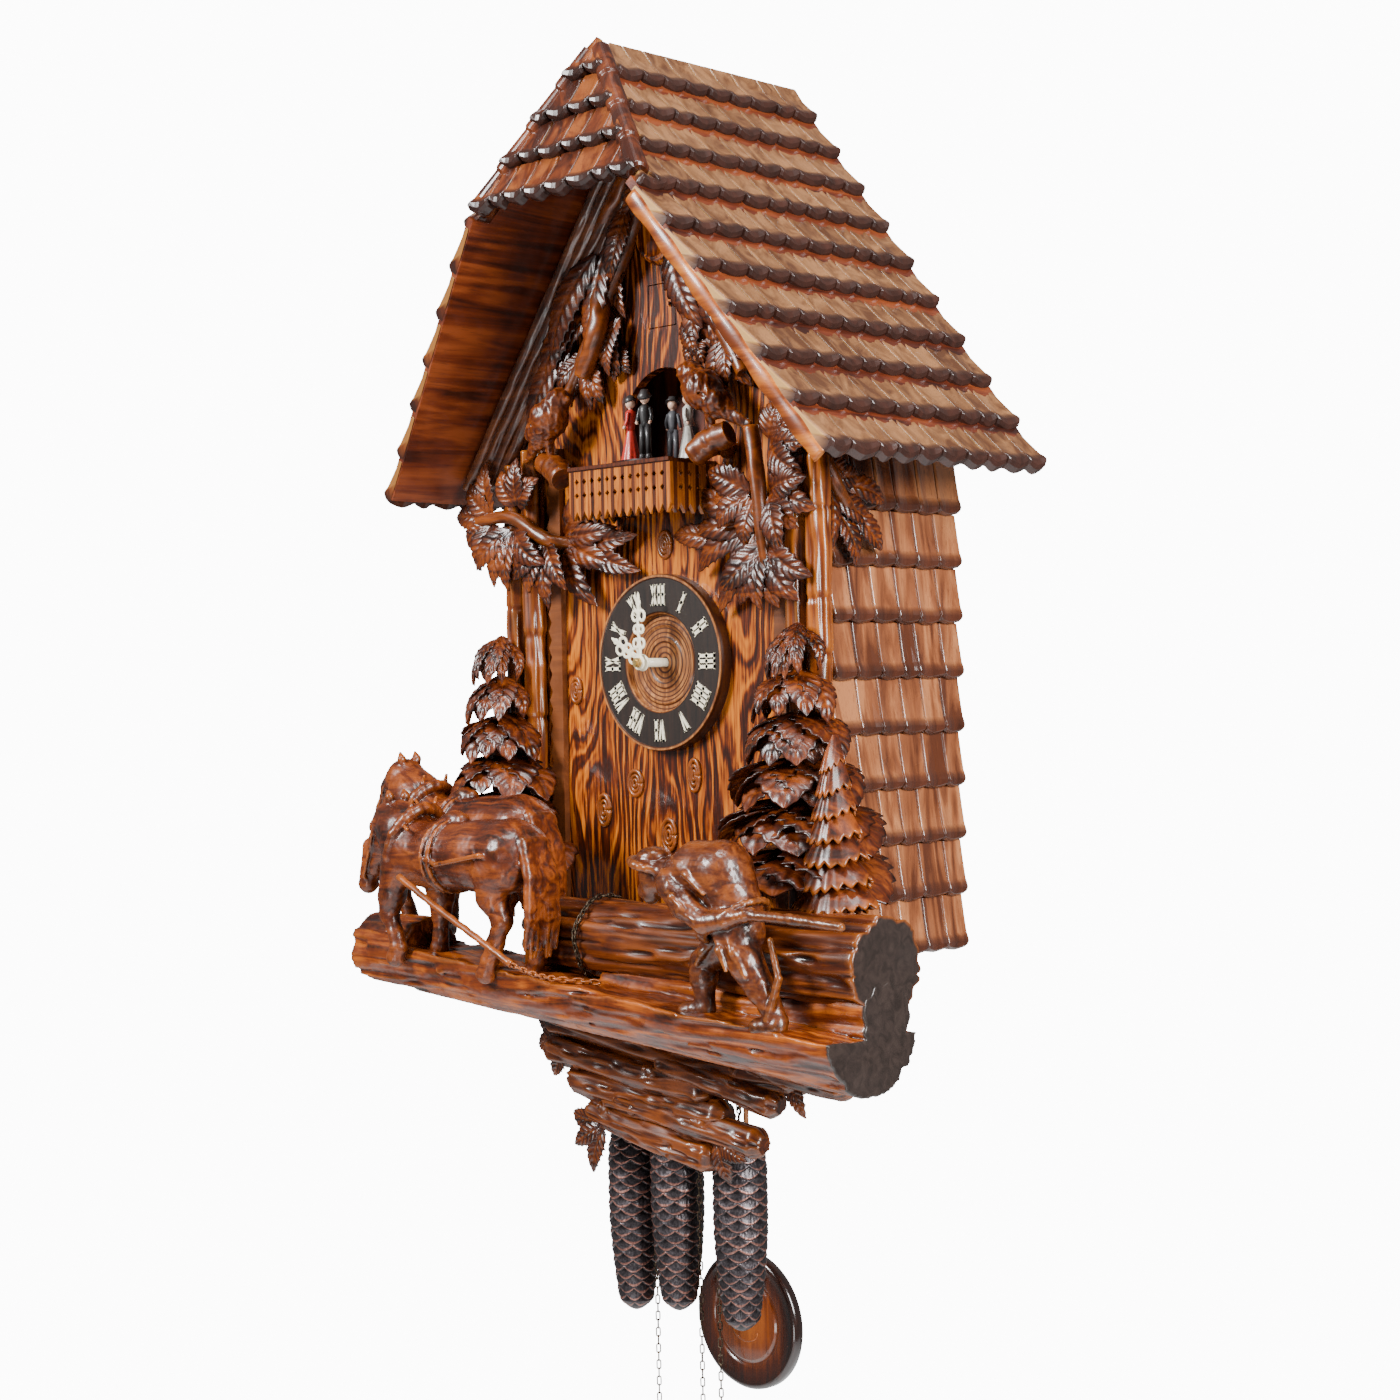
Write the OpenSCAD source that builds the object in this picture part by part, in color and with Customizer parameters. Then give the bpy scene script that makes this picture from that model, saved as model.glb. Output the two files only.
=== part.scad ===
// Chalet cuckoo clock with three cone weights, a dancing stage and carved log hauling scene.
// Millimetres. The origin is the wall hook hole on the back plane. X runs to the right seen from the
// front, the front faces -Y and Z is up.

/* [Case] */
// Width across the outside of the two side walls
case_w = 356; // [346:2:360]
// Distance from the wall to the front face of the panel
case_d = 180; // [178:1:184]
// Thickness of the front panel and side walls
wall_t = 10; // [8:0.5:11]
// Height of the dial centre below the hook hole
dial_drop = 400; // [398:1:402]
// Height of the case underside below the hook hole
case_drop = 655; // [652:1:656]
// Radius of the hook hole
hook_r = 4.5; // [3.5:0.25:6]

/* [Roof] */
// Height of the ridge above the hook hole
ridge_up = 148; // [146:1:150]
// Half width of the roof at the eaves
eave_x = 283; // [280:1:286]
// Height of the eaves below the hook hole
eave_drop = 232; // [230:1:234]
// Thickness of the roof boards
board_t = 8; // [6:0.5:8]
// Thickness of the shingles at their lower edge
shingle_t = 10; // [8:0.5:10]
// Number of shingle courses on each roof slope
roof_courses = 10; // [8:1:12]
// Number of shingle courses on the half hip
hip_courses = 4; // [3:1:5]

/* [Dial] */
// Outer radius of the dial ring
dial_r = 78; // [74:1:80]
// Radius of the turned wood centre
dial_in_r = 43; // [40:1:46]
// Thickness of the dial ring
dial_t = 12; // [10:1:13]
// Length of the minute hand from its arbor
minute_len = 62; // [56:1:66]
// Length of the hour hand from its arbor
hour_len = 46; // [40:1:50]

/* [Weights] */
// Radius of a cone weight at its widest
cone_r = 25; // [22:0.5:25]
// Length of a cone weight
cone_len = 182; // [170:1:186]
// Radius of the chain wheels
wheel_r = 13.9; // [13.9:0.05:14.1]
// Radius of the space a hanging chain fills
chain_r = 2.4; // [1.8:0.1:2.5]

/* [Pendulum] */
// Radius of the carved pendulum disc
bob_r = 62; // [55:1:64]
// Height of the disc centre below the hook hole
bob_drop = 997; // [985:1:1000]
// Thickness of the disc
bob_t = 12; // [8:1:14]

/* [Stage] */
// Half width of the arched opening
niche_r = 50; // [47:1:51]
// Radius of the turning disc under the dancers
stage_r = 42; // [38:0.5:43]
// Height of the dancers
dancer_h = 62; // [50:1:66]

/* [Hidden] */
$fn = 48;

hw = case_w / 2;
hi = hw - wall_t;
yf = -case_d;
yb = yf + wall_t;
zd = -dial_drop;
zb = -case_drop;
slope = atan((ridge_up + eave_drop) / eave_x);
slope_len = norm([eave_x, ridge_up + eave_drop]);
roof_t = board_t + shingle_t;
tn = tan(slope);
cs = cos(slope);

// Front edge of the roof and the half hip
ridge_y = -258;
hip_y = -313;
hip_z = -2;
eave_y = -275;
hip_s = (ridge_up - hip_z) / sin(slope);
hip_dy = ridge_y - hip_y;
hip_dz = ridge_up - hip_z;
hip_half = hip_dz / tan(slope);
hip_len = norm([hip_dy, hip_dz]);
hip_back = roof_t * hip_len / hip_dz;

// Chain wheels and weights
wheel_z = zd - 70;
wheel_y = -148;
wheel_x = [-75.6, -19.3, 31.6];
side = [-1, -1, 1];
cone_z = [-810, -801, -805];
tail_z = [-1115, -1105, -1110];

// Movement plates
plate_y1 = -164;
plate_y2 = -132;
plate_t = 2;

// Pendulum
pend_z = -330;
pend_y = -92;

// Stage
stage_y = -186;
stage_z = -228;
arch_z0 = -229;
arch_z1 = -190;

// Carved ground on the base log
ground_tilt = 4;
ground_z = -666;

// Cuckoo opening
bird_z = -85;
door_w = 34;
door_h = 38;

function roof_under(x) = ridge_up - roof_t / cs - tn * abs(x);

// Plate standing across the clock, from y0 back to y0 + t
module plate_y(y0, t) {
  translate([0, y0 + t, 0]) rotate([90, 0, 0]) linear_extrude(t) children();
}

// Plate standing front to back, from x0 to x0 + t
module plate_x(x0, t) {
  translate([x0, 0, 0]) rotate([90, 0, 90]) linear_extrude(t) children();
}

module rod_y(x, z, y0, y1, r) {
  translate([x, y1, z]) rotate([90, 0, 0]) cylinder(r = r, h = y1 - y0);
}

module box(a, b) {
  translate(a) cube(b - a);
}

// Local x runs down the right roof slope from the ridge and local z is its outward normal
module on_slope() {
  translate([0, 0, ridge_up]) rotate([0, slope, 0]) children();
}

module limb(a, b, ra, rb) {
  hull() {
    translate(a) sphere(r = ra, $fn = 12);
    translate(b) sphere(r = rb, $fn = 12);
  }
}

module gable_outline(half, z0) {
  polygon([[-half, z0], [half, z0], [half, roof_under(half)], [0, roof_under(0)],
    [-half, roof_under(half)]]);
}

// ---- case ----

module back_frame() {
  color("#6b3418") difference() {
    plate_y(-8, 8) difference() {
      gable_outline(hi, zb + 10);
      translate([-122, -600]) square([242.3, 460.3]);
      circle(r = hook_r);
    }
    translate([-116, -4, -603]) cylinder(r = 1.56, h = 4);
    translate([-116, -4, -140]) cylinder(r = 1.56, h = 4);
  }
}

module back_door() {
  color("#7a3f1f") {
    difference() {
      box([-119.5, -8, -599.5], [119.5, 0, -140.2]);
      box([104, -3, -380], [119.6, 0.1, -360]);
    }
    translate([-116, -4, -602.4]) cylinder(r = 1.5, h = 3.5);
    translate([-116, -4, -140.7]) cylinder(r = 1.5, h = 3.6);
  }
}

module side_wall() {
  plate_y(yb, -yb) polygon([[hi, zb], [hw, zb], [hw, roof_under(hw)], [hi, roof_under(hi)]]);
}

module side_wall_left() {
  color("#7a3416") mirror([1, 0, 0]) side_wall();
}

module side_wall_right() {
  color("#7a3416") side_wall();
}

wall_courses = 11;
wall_lip = 8;
wall_top = roof_under(hw + wall_lip) - 1;
wall_step = (wall_top - zb) / wall_courses;

module wall_shingles_one() {
  intersection() {
    plate_y(yb, -yb) polygon([[hw, zb], for (i = [0:wall_courses - 1])
      each [[hw + wall_lip, zb + i * wall_step], [hw + 2, zb + (i + 1) * wall_step - 0.01]],
      [hw, wall_top]]);
    plate_x(hw - 1, wall_lip + 2) difference() {
      translate([yb, zb]) square([-yb, wall_top - zb]);
      for (i = [0:wall_courses - 1], j = [1:5])
        translate([yb + j * 28.3 - 0.8, zb + i * wall_step - 1]) square([1.6, 13]);
    }
  }
}

module wall_shingles() {
  color("#8a4a26") {
    wall_shingles_one();
    mirror([1, 0, 0]) wall_shingles_one();
  }
}

module arch_2d(r) {
  translate([-r, arch_z0]) square([2 * r, arch_z1 - arch_z0]);
  translate([0, arch_z1]) circle(r = r, $fn = 64);
}

module front_panel() {
  color("#b0571e") plate_y(yf, wall_t) difference() {
    gable_outline(hw, zb);
    arch_2d(niche_r);
    translate([-18, -252]) square([36, 24]);
    translate([-door_w / 2 - 0.5, bird_z - door_h / 2 - 0.5]) square([door_w + 1, door_h + 1]);
    translate([0, zd]) circle(r = 5.2);
  }
}

module bottom_board() {
  color("#6b3418") translate([0, 0, zb]) linear_extrude(10) difference() {
    translate([-hi, yb]) square([2 * hi, -yb]);
    for (i = [0:2], s = [-1, 1])
      translate([wheel_x[i] + s * wheel_r, wheel_y]) circle(r = 5);
    translate([-36, pend_y - 6]) square([72, 12]);
  }
}

// ---- roof ----

module roof_outline() {
  polygon([[0, 0], [slope_len, 0], [slope_len, eave_y], [hip_s, hip_y],
    [hip_s, hip_y + hip_back], [0, ridge_y + hip_back]]);
}

module roof_boards_one() {
  intersection() {
    on_slope() translate([0, 0, -roof_t]) linear_extrude(board_t) roof_outline();
    box([0, -340, -260], [320, 10, 170]);
  }
}

module roof_boards() {
  color("#6e2f14") {
    roof_boards_one();
    mirror([1, 0, 0]) roof_boards_one();
  }
}

course = slope_len / roof_courses;

module roof_shingles_one() {
  intersection() {
    on_slope() rotate([90, 0, 0]) linear_extrude(330) polygon([[0, -shingle_t],
      for (i = [0:roof_courses - 1]) each [[i * course, -6], [(i + 1) * course - 0.01, 0]],
      [slope_len, -shingle_t]]);
    on_slope() translate([0, 0, -shingle_t - 1]) linear_extrude(shingle_t + 2) difference() {
      roof_outline();
      for (i = [1:roof_courses], j = [1:9])
        translate([i * course - 13, -j * 31 + (i % 2) * 14]) square([14, 1.8]);
    }
    box([0, -340, -260], [320, 10, 170]);
  }
}

module roof_shingles_left() {
  color("#a4683a") mirror([1, 0, 0]) roof_shingles_one();
}

module roof_shingles_right() {
  color("#a4683a") roof_shingles_one();
}

module hip_shingles() {
  step = hip_len / hip_courses;
  color("#8d431f") intersection() {
    plate_x(-130, 260) translate([ridge_y, ridge_up])
      rotate(-90 - atan(hip_dy / hip_dz)) polygon([[0, 0], [0, roof_t], [hip_len, roof_t],
        for (i = [hip_courses - 1:-1:0]) each [[(i + 1) * step, 0], [i * step + 0.01, 6]]]);
    plate_y(-340, 130) polygon([[0, ridge_up], [hip_half, hip_z], [hip_half - 12.1, hip_z - 9],
      [-hip_half + 12.1, hip_z - 9], [-hip_half, hip_z]]);
  }
}

module gable_beam() {
  difference() {
    on_slope() for (k = [0:3])
      translate([48, yf - 28, -roof_t - 9 * (k + 1)]) cube([400 - k * 8, 28 - 3 * k, 9]);
    box([-60, -340, -330], [0.2, 0, 170]);
  }
}

module gable_beams() {
  color("#7d3a1a") {
    gable_beam();
    mirror([1, 0, 0]) gable_beam();
  }
}

module trunk_post(x, ztop) {
  translate([x, yf - 11, 0]) rotate_extrude() polygon([[0, -600], [11, -600],
    for (i = [0:6]) let (z = -570 + i * 55) each [[11, z], [9.4, z + 1.5], [9.4, z + 4], [11, z + 5.5]],
    [11, ztop], [0, ztop]]);
}

module trunk_posts() {
  color("#8f4822") for (s = [-1, 1]) {
    trunk_post(s * 166, -200);
    trunk_post(s * 190, -212);
  }
}

module corner_ripple() {
  plate_y(yf - 6, 6) polygon([[134, -640], [144, -640],
    for (i = [0:54]) [i % 2 == 0 ? 152 : 148, -640 + i * 8], [144, -200], [134, -200]]);
}

module corner_ripples() {
  color("#5a2a12") {
    corner_ripple();
    mirror([1, 0, 0]) corner_ripple();
  }
}

// ---- balcony and stage ----

module balcony_floor() {
  color("#6b3014") difference() {
    union() {
      box([-60, -232, -262], [60, yf, -254]);
      rod_y(-40, -266, -226, yf, 4);
      rod_y(40, -266, -226, yf, 4);
    }
    translate([0, stage_y, -258.1]) cylinder(r = 2.56, h = 5);
  }
}

// Row of pointed planks with a diamond cut between each two
module plank_row(len) {
  n = round(len / 10);
  w = len / n;
  difference() {
    polygon([[0, -228], [0, -266], for (i = [0:n - 1]) each [[(i + 0.5) * w, -274],
      [(i + 1) * w, -266]], [len, -228]]);
    for (i = [1:n - 1], z = [-252, -240]) translate([i * w, z]) rotate(45) square(4, center = true);
  }
}

module balcony_rail() {
  color("#c8702c") {
    plate_y(-236, 4) translate([-64, 0]) plank_row(128);
    for (x = [-64, 60]) plate_x(x, 4) translate([-234, 0]) plank_row(54);
    box([-64, -238, -230], [64, -231, -227]);
  }
}

module niche_box() {
  color("#38170a") {
    difference() {
      box([-58, yb, -232], [58, -136, -131]);
      box([-54, yb - 1, -233], [54, -140, -135]);
    }
    box([-25, yb, -112], [25, -88, -108]);
    for (x = [-25, 21]) box([x, yb, -131], [x + 4, -136, -112]);
    for (x = [-9, 5.3]) box([x, yb, -108], [x + 3.7, -88, -104]);
  }
}

module carousel() {
  color("#5b2c14") {
    translate([0, stage_y, stage_z]) cylinder(r = stage_r, h = 4);
    translate([0, stage_y, -234]) difference() {
      cylinder(r = 14, h = 6);
      translate([0, 0, -1]) cylinder(r = 10, h = 7);
    }
    translate([0, stage_y, -258]) cylinder(r = 2.5, h = 30);
  }
}

module dancer(a, skirt) {
  rotate(a) translate([28, 0, 0]) {
    if (skirt) {
      cylinder(r1 = 10, r2 = 3.2, h = dancer_h * 0.5);
    } else {
      for (s = [-1, 1]) translate([0, s * 3.2, 0]) cylinder(r = 2.6, h = dancer_h * 0.48);
    }
    translate([0, 0, dancer_h * 0.46]) cylinder(r1 = 3.6, r2 = 5, h = dancer_h * 0.3);
    for (s = [-1, 1]) translate([0, s * 6.4, dancer_h * 0.45]) cylinder(r = 1.7, h = dancer_h * 0.3);
    translate([0, 0, dancer_h * 0.75]) cylinder(r = 2, h = dancer_h * 0.08);
    translate([0, 0, dancer_h * 0.87]) sphere(r = 4.6, $fn = 24);
    translate([0, 0, dancer_h * 0.93]) cylinder(r1 = 4.8, r2 = 3, h = dancer_h * 0.07);
  }
}

module dancers() {
  color("#d9d4c8") translate([0, stage_y, stage_z + 4])
    for (i = [0:3]) dancer(i * 90 + 20, i % 2 == 0);
}

// ---- dial ----

module dial_ring() {
  color("#1d110c") {
    translate([0, yf, zd]) rotate([90, 0, 0]) rotate_extrude($fn = 120) polygon([[dial_in_r, 0],
      [dial_r, 0], [dial_r, dial_t - 3], [dial_r - 1, dial_t], [dial_r - 3, dial_t],
      [dial_r - 4, dial_t - 1], [dial_in_r + 2, dial_t - 1], [dial_in_r, dial_t - 3]]);
    translate([0, yf, zd]) rotate([90, 0, 0]) rotate_extrude($fn = 120) polygon([[5.2, 0],
      [dial_in_r, 0], [dial_in_r, 4], [38, 4], [36, 5.5], [33, 5.5], [31, 4], [24, 4], [22, 5],
      [19, 5], [17, 4], [5.2, 4]]);
  }
}

function numeral(n) = n == 4 ? "IIII" : n == 5 ? "V" : n == 9 ? "IX" : n == 10 ? "X" :
  n == 11 ? "XI" : n == 12 ? "XII" : n == 6 ? "VI" : n == 7 ? "VII" : n == 8 ? "VIII" :
  n == 3 ? "III" : n == 2 ? "II" : "I";
function stroke_w(c) = c == "I" ? 3.6 : 8;
function run_w(s, k) = k == 0 ? 0 : run_w(s, k - 1) + stroke_w(s[k - 1]);

module stroke(c) {
  h = 17;
  if (c == "I") translate([-1, -h / 2]) square([2, h]);
  if (c == "V") polygon([[-3.6, h / 2], [-1.4, h / 2], [0.2, -h / 2 + 5], [2.4, h / 2], [3.4, h / 2],
    [0.6, -h / 2], [-0.6, -h / 2]]);
  if (c == "X") {
    polygon([[-3.6, h / 2], [-1.4, h / 2], [3.6, -h / 2], [1.4, -h / 2]]);
    polygon([[3.4, h / 2], [2.4, h / 2], [-3.4, -h / 2], [-2.4, -h / 2]]);
  }
}

module dial_numerals() {
  color("#ece3c8") plate_y(yf - dial_t + 0.2, 0.8) translate([0, zd]) for (n = [1:12])
    rotate(-30 * n) translate([0, dial_r - 18.5]) {
      s = numeral(n);
      total = run_w(s, len(s));
      for (k = [0:len(s) - 1])
        translate([run_w(s, k) + stroke_w(s[k]) / 2 - total / 2, 0]) stroke(s[k]);
    }
}

function hand_mid(t, len, amp) = [amp * sin(t * 540) * (1 - t), t * len];

module hand_2d(len, w, amp, hole) {
  n = 28;
  difference() {
    union() {
      polygon([for (i = [0:n]) let (t = i / n) hand_mid(t, len, amp) + [w * (1.05 - t) / 2, 0],
        for (i = [n:-1:0]) let (t = i / n) hand_mid(t, len, amp) - [w * (1.05 - t) / 2, 0]]);
      circle(r = hole + 3.5);
      translate([0, len * 0.68]) circle(r = w * 0.55, $fn = 24);
    }
    circle(r = hole);
  }
}

module minute_hand() {
  color("#ece3c8") plate_y(-216, 1.6) translate([0, zd]) hand_2d(minute_len, 6.5, 4.5, 2.5);
}

module hour_hand() {
  color("#ece3c8") {
    plate_y(-212, 1.6) translate([0, zd]) rotate(60) hand_2d(hour_len, 8, 4.5, 4);
    difference() {
      rod_y(0, zd, -213, -166, 4);
      rod_y(0, zd, -214, -165, 2.56);
    }
  }
}

module gear_2d(r, teeth, hole) {
  difference() {
    union() {
      circle(r = r - 1.6);
      for (i = [0:teeth - 1]) rotate(i * 360 / teeth) translate([0, -0.9]) square([r, 1.8]);
    }
    circle(r = hole);
  }
}

module center_arbor() {
  color("#b8923f") {
    rod_y(0, zd, -221, -129, 2.5);
    plate_y(-158, 2) translate([0, zd]) gear_2d(23, 48, 2.4);
    plate_y(-219.5, 3.5) translate([0, zd]) difference() {
      circle(r = 4.6, $fn = 6);
      circle(r = 2.4);
    }
  }
}

// ---- movement ----

module movement_plates() {
  color("#c29a4b") {
    for (y = [plate_y1, plate_y2]) plate_y(y, plate_t) difference() {
      translate([-105, -500]) square([170, 200]);
      translate([0, zd]) circle(r = 2.56);
      for (x = wheel_x) translate([x, wheel_z]) circle(r = 2.06);
      translate([0, pend_z]) circle(r = 1.56);
      translate([50, -470]) circle(r = 1.56);
      translate([-60, -365]) circle(r = 16);
      translate([42, -425]) circle(r = 12);
    }
    for (x = [-100, 60], z = [-494, -306]) {
      rod_y(x, z, yb, plate_y1, 4);
      rod_y(x, z, plate_y1 + plate_t, plate_y2, 3);
    }
    box([-4, -130, -314], [4, -100, -308]);
    box([-4, -106, -335], [4, -102, -308]);
    rod_y(0, pend_z, -104, -86, 2);
  }
}

module chain_wheel(i) {
  color("#b8923f") {
    rod_y(wheel_x[i], wheel_z, plate_y1 - 1, plate_y2 + plate_t + 1, 2);
    plate_y(wheel_y - 1, 2) translate([wheel_x[i], wheel_z]) gear_2d(wheel_r - chain_r - 0.4, 8, 1.9);
    plate_y(wheel_y + 6, 2) translate([wheel_x[i], wheel_z]) gear_2d(20, 60, 1.9);
    rod_y(wheel_x[i], wheel_z, wheel_y + 1, wheel_y + 6, 5);
  }
}

module wheel_left() { chain_wheel(0); }
module wheel_mid() { chain_wheel(1); }
module wheel_right() { chain_wheel(2); }

module cone_weight(i) {
  x = wheel_x[i] + side[i] * wheel_r;
  z = cone_z[i];
  color("#3a3430") {
    translate([x, wheel_y, z - cone_len]) rotate_extrude() polygon([[0, 0],
      for (k = [1:14]) let (t = k / 14)
        [cone_r * pow(sin(90 * min(1, t * 1.9)), 0.6) * (t > 0.62 ? 1 - (t - 0.62) * 0.5 : 1)
          * (k % 2 == 0 ? 1 : 0.97), t * (cone_len - 8)],
      [4, cone_len - 4], [0, cone_len]]);
    translate([x, wheel_y, z - 6]) cylinder(r = 2.2, h = 16);
    translate([x, wheel_y, z + 8]) cylinder(r = chain_r, h = wheel_z - z - 8);
  }
}

module weight_left() { cone_weight(0); }
module weight_mid() { cone_weight(1); }
module weight_right() { cone_weight(2); }

module chain_tail(i) {
  x = wheel_x[i] - side[i] * wheel_r;
  color("#4a4036") {
    translate([x, wheel_y, tail_z[i] + 15.9]) cylinder(r = chain_r, h = wheel_z - tail_z[i] - 15.9);
    translate([x, wheel_y, tail_z[i] + 8]) rotate([0, 90, 0])
      rotate_extrude($fn = 32) translate([7, 0]) circle(r = 1.2, $fn = 16);
  }
}

module tail_left() { chain_tail(0); }
module tail_mid() { chain_tail(1); }
module tail_right() { chain_tail(2); }

module anchor() {
  color("#8c8c8c") {
    rod_y(0, pend_z, -165, -110, 1.5);
    plate_y(-140, 3) translate([0, pend_z]) difference() {
      polygon([[-14, -9], [-12, 1], [0, 5], [12, 1], [14, -9], [10, -3], [0, -1], [-10, -3]]);
      circle(r = 1.4);
    }
    difference() {
      plate_y(-113, 2) union() {
        translate([0, pend_z]) circle(r = 4);
        translate([-1.5, -400]) square([3, 68]);
      }
      rod_y(0, pend_z, -114, -110, 1.4);
    }
    box([-4.4, -111, -404], [-3, -86, -400]);
    box([3, -111, -404], [4.4, -86, -400]);
    box([-4.4, -113, -404], [4.4, -111, -398]);
  }
}

module pendulum_rod() {
  color("#7a4a28") {
    plate_y(pend_y - 1.2, 2.4) translate([0, pend_z]) difference() {
      union() {
        circle(r = 6);
        translate([-2.4, -10]) square([4.8, 6]);
      }
      circle(r = 2.06);
    }
    translate([0, pend_y, -bob_drop + bob_r - 6]) cylinder(r = 2.4, h = bob_drop - bob_r + 6 - 337);
  }
}

module pendulum_bob() {
  color("#8a3d16") translate([0, pend_y, -bob_drop]) rotate([90, 0, 0]) difference() {
    translate([0, 0, -bob_t / 2]) rotate_extrude($fn = 96) polygon([[0, 0], [bob_r - 3, 0],
      [bob_r, 3], [bob_r, bob_t - 4], [bob_r - 4, bob_t - 1], [bob_r * 0.8, bob_t - 2],
      [bob_r * 0.78, bob_t - 1], [bob_r * 0.6, bob_t - 1.5], [bob_r * 0.58, bob_t], [0, bob_t]]);
    translate([0, 70, 0]) rotate([90, 0, 0]) cylinder(r = 2.42, h = 15.2);
  }
}

module bellows_bodies() {
  color("#c9a06a") for (x = [-150, 110]) difference() {
    box([x, -104, -352], [x + 38, -60, -250]);
    box([x + 5, -99, -346], [x + 33, -65, -249]);
    box([x + 10, -105, -346], [x + 28, -98, -330]);
  }
}

module bellows_lid(x) {
  color("#d8b98c") box([x, -104, -249.7], [x + 38, -60, -245]);
}

module bellows_lid_left() { bellows_lid(-150); }
module bellows_lid_right() { bellows_lid(110); }

module gong() {
  color("#6f6a62") {
    for (k = [0:3]) translate([0, -38, -560]) rotate([90, 0, 0])
      rotate_extrude($fn = 64) translate([24 + 7 * k, 0]) circle(r = 1.4, $fn = 16);
    box([-4, -36, -645], [4, -30, -540]);
    box([-48, -38, -562], [48, -35, -558]);
  }
}

module gong_hammer() {
  color("#8c8c8c") {
    rod_y(50, -470, -133, -30, 1.5);
    box([48.5, -39.5, -520], [51.5, -36.5, -470]);
    translate([50, -38, -524]) rotate([0, 90, 0]) cylinder(r = 5, h = 12, center = true);
  }
}

module music_works() {
  color("#9a9a94") {
    box([-34, -170, -262], [34, -40, -257]);
    for (y = [-128, -54]) difference() {
      box([-14, y, -257], [14, y + 4, -233]);
      rod_y(0, -242, y - 1, y + 5, 1.56);
    }
    box([14, -118, -257], [30, -60, -243]);
    box([9.8, -116, -243], [30, -62, -241]);
  }
}

module music_cylinder() {
  color("#c29a4b") {
    rod_y(0, -242, -178, -48, 1.5);
    difference() {
      rod_y(0, -242, -120, -58, 9);
      rod_y(0, -242, -121, -57, 1.45);
    }
    plate_y(-178, 8) translate([0, -242]) gear_2d(7, 12, 1.45);
  }
}

module cuckoo_bird() {
  color("#7a4a2a") {
    box([-5, -134, -107.7], [5, -90, -104]);
    translate([0, -130, -105]) cylinder(r = 1.6, h = 10);
    limb([0, -155, -88], [0, -131, -95], 7, 5);
    limb([0, -131, -95], [0, -109, -100], 4, 1.5);
    limb([0, -155, -88], [0, -161, -79], 5.4, 5);
    limb([0, -165, -79], [0, -171, -81], 1.6, 0.6);
  }
}

module cuckoo_door() {
  color("#a8571f") {
    box([-door_w / 2 + 0.4, yf, bird_z - door_h / 2 + 0.4],
      [door_w / 2 - 0.4, yf + 3, bird_z + door_h / 2 - 0.4]);
    rod_y(10, bird_z, yf - 3, yf, 2);
  }
}

// ---- carvings ----

// Leaf lying against the plane y = p[1], pointing along angle a from +X towards +Z
module leaf(p, a, len, w) {
  translate(p) rotate([0, -a, 0]) hull() {
    translate([0, -3, 0]) sphere(r = 2.9, $fn = 8);
    translate([len * 0.35, -3, 0]) rotate([90, 0, 0]) cylinder(r = w / 2, h = 6, center = true, $fn = 10);
    translate([len * 0.65, -3, 0]) rotate([90, 0, 0]) cylinder(r = w * 0.4, h = 6, center = true, $fn = 10);
    translate([len, -3, 0]) sphere(r = 1.6, $fn = 8);
  }
}

// Space taken by the panel, the corner ripples and the trunk posts
module panel_space() {
  box([-240, yf, -700], [240, 0, 160]);
  for (x = [-230, 132]) box([x, yf - 22, -700], [x + 98, 0, -195]);
}

module foliage_left() {
  color("#7b3415") difference() {
    union() {
      for (i = [0:3]) leaf([-216 + i * 18, yf - 22, -262 - 5 * i], 200 + i * 24, 44, 20);
      for (i = [0:3]) leaf([-196 + i * 18, yf - 22, -276], 262 + i * 4, 52, 20);
      leaf([-134, yf - 22, -282], 180, 50, 22);
      leaf([-126, yf, -288], -14, 60, 20);
      leaf([-72, yf, -304], 10, 56, 18);
      leaf([-122, yf, -262], 40, 36, 18);
      limb([-222, yf - 24, -262], [-136, yf - 24, -286], 6, 7);
      limb([-136, yf - 24, -286], [-110, yf - 8, -292], 7, 6);
      limb([-110, yf - 8, -292], [-64, yf - 4, -310], 6, 3);
    }
    panel_space();
    song_bird(-1);
  }
}

module foliage_right() {
  color("#7b3415") difference() {
    union() {
      for (i = [0:4]) leaf([134 + i * 3, yf - 22, -218 - i * 26], -10 - i * 16, 46, 22);
      for (i = [0:3]) leaf([134, yf - 22, -246 - i * 24], 236 - i * 4, 48, 22);
      leaf([126, yf, -290], 194, 64, 20);
      leaf([64, yf, -306], 172, 52, 18);
      leaf([120, yf, -252], 250, 46, 20);
      limb([130, yf - 24, -206], [146, yf - 24, -340], 7, 6);
      limb([134, yf - 24, -280], [112, yf - 8, -290], 6, 6);
      limb([112, yf - 8, -290], [56, yf - 4, -310], 6, 3);
    }
    panel_space();
    song_bird(1);
  }
}

module foliage_top() {
  color("#7b3415") difference() {
    union() {
      for (s = [0, 1]) mirror([s, 0, 0]) {
        leaf([34, yf, -64], -86, 60, 22);
        leaf([46, yf, -40], -52, 60, 22);
        leaf([60, yf, -92], -62, 56, 22);
        leaf([24, yf, -44], 70, 24, 14);
        limb([12, yf - 8, 12], [40, yf - 6, -40], 7, 6);
        limb([40, yf - 6, -40], [74, yf - 6, -126], 6, 5);
      }
      leaf([-10, yf, -110], -70, 28, 18);
      leaf([10, yf, -110], -110, 28, 18);
      translate([0, yf, -10]) rotate([90, 0, 0]) cylinder(r1 = 36, r2 = 30, h = 12);
    }
    panel_space();
  }
}

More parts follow.
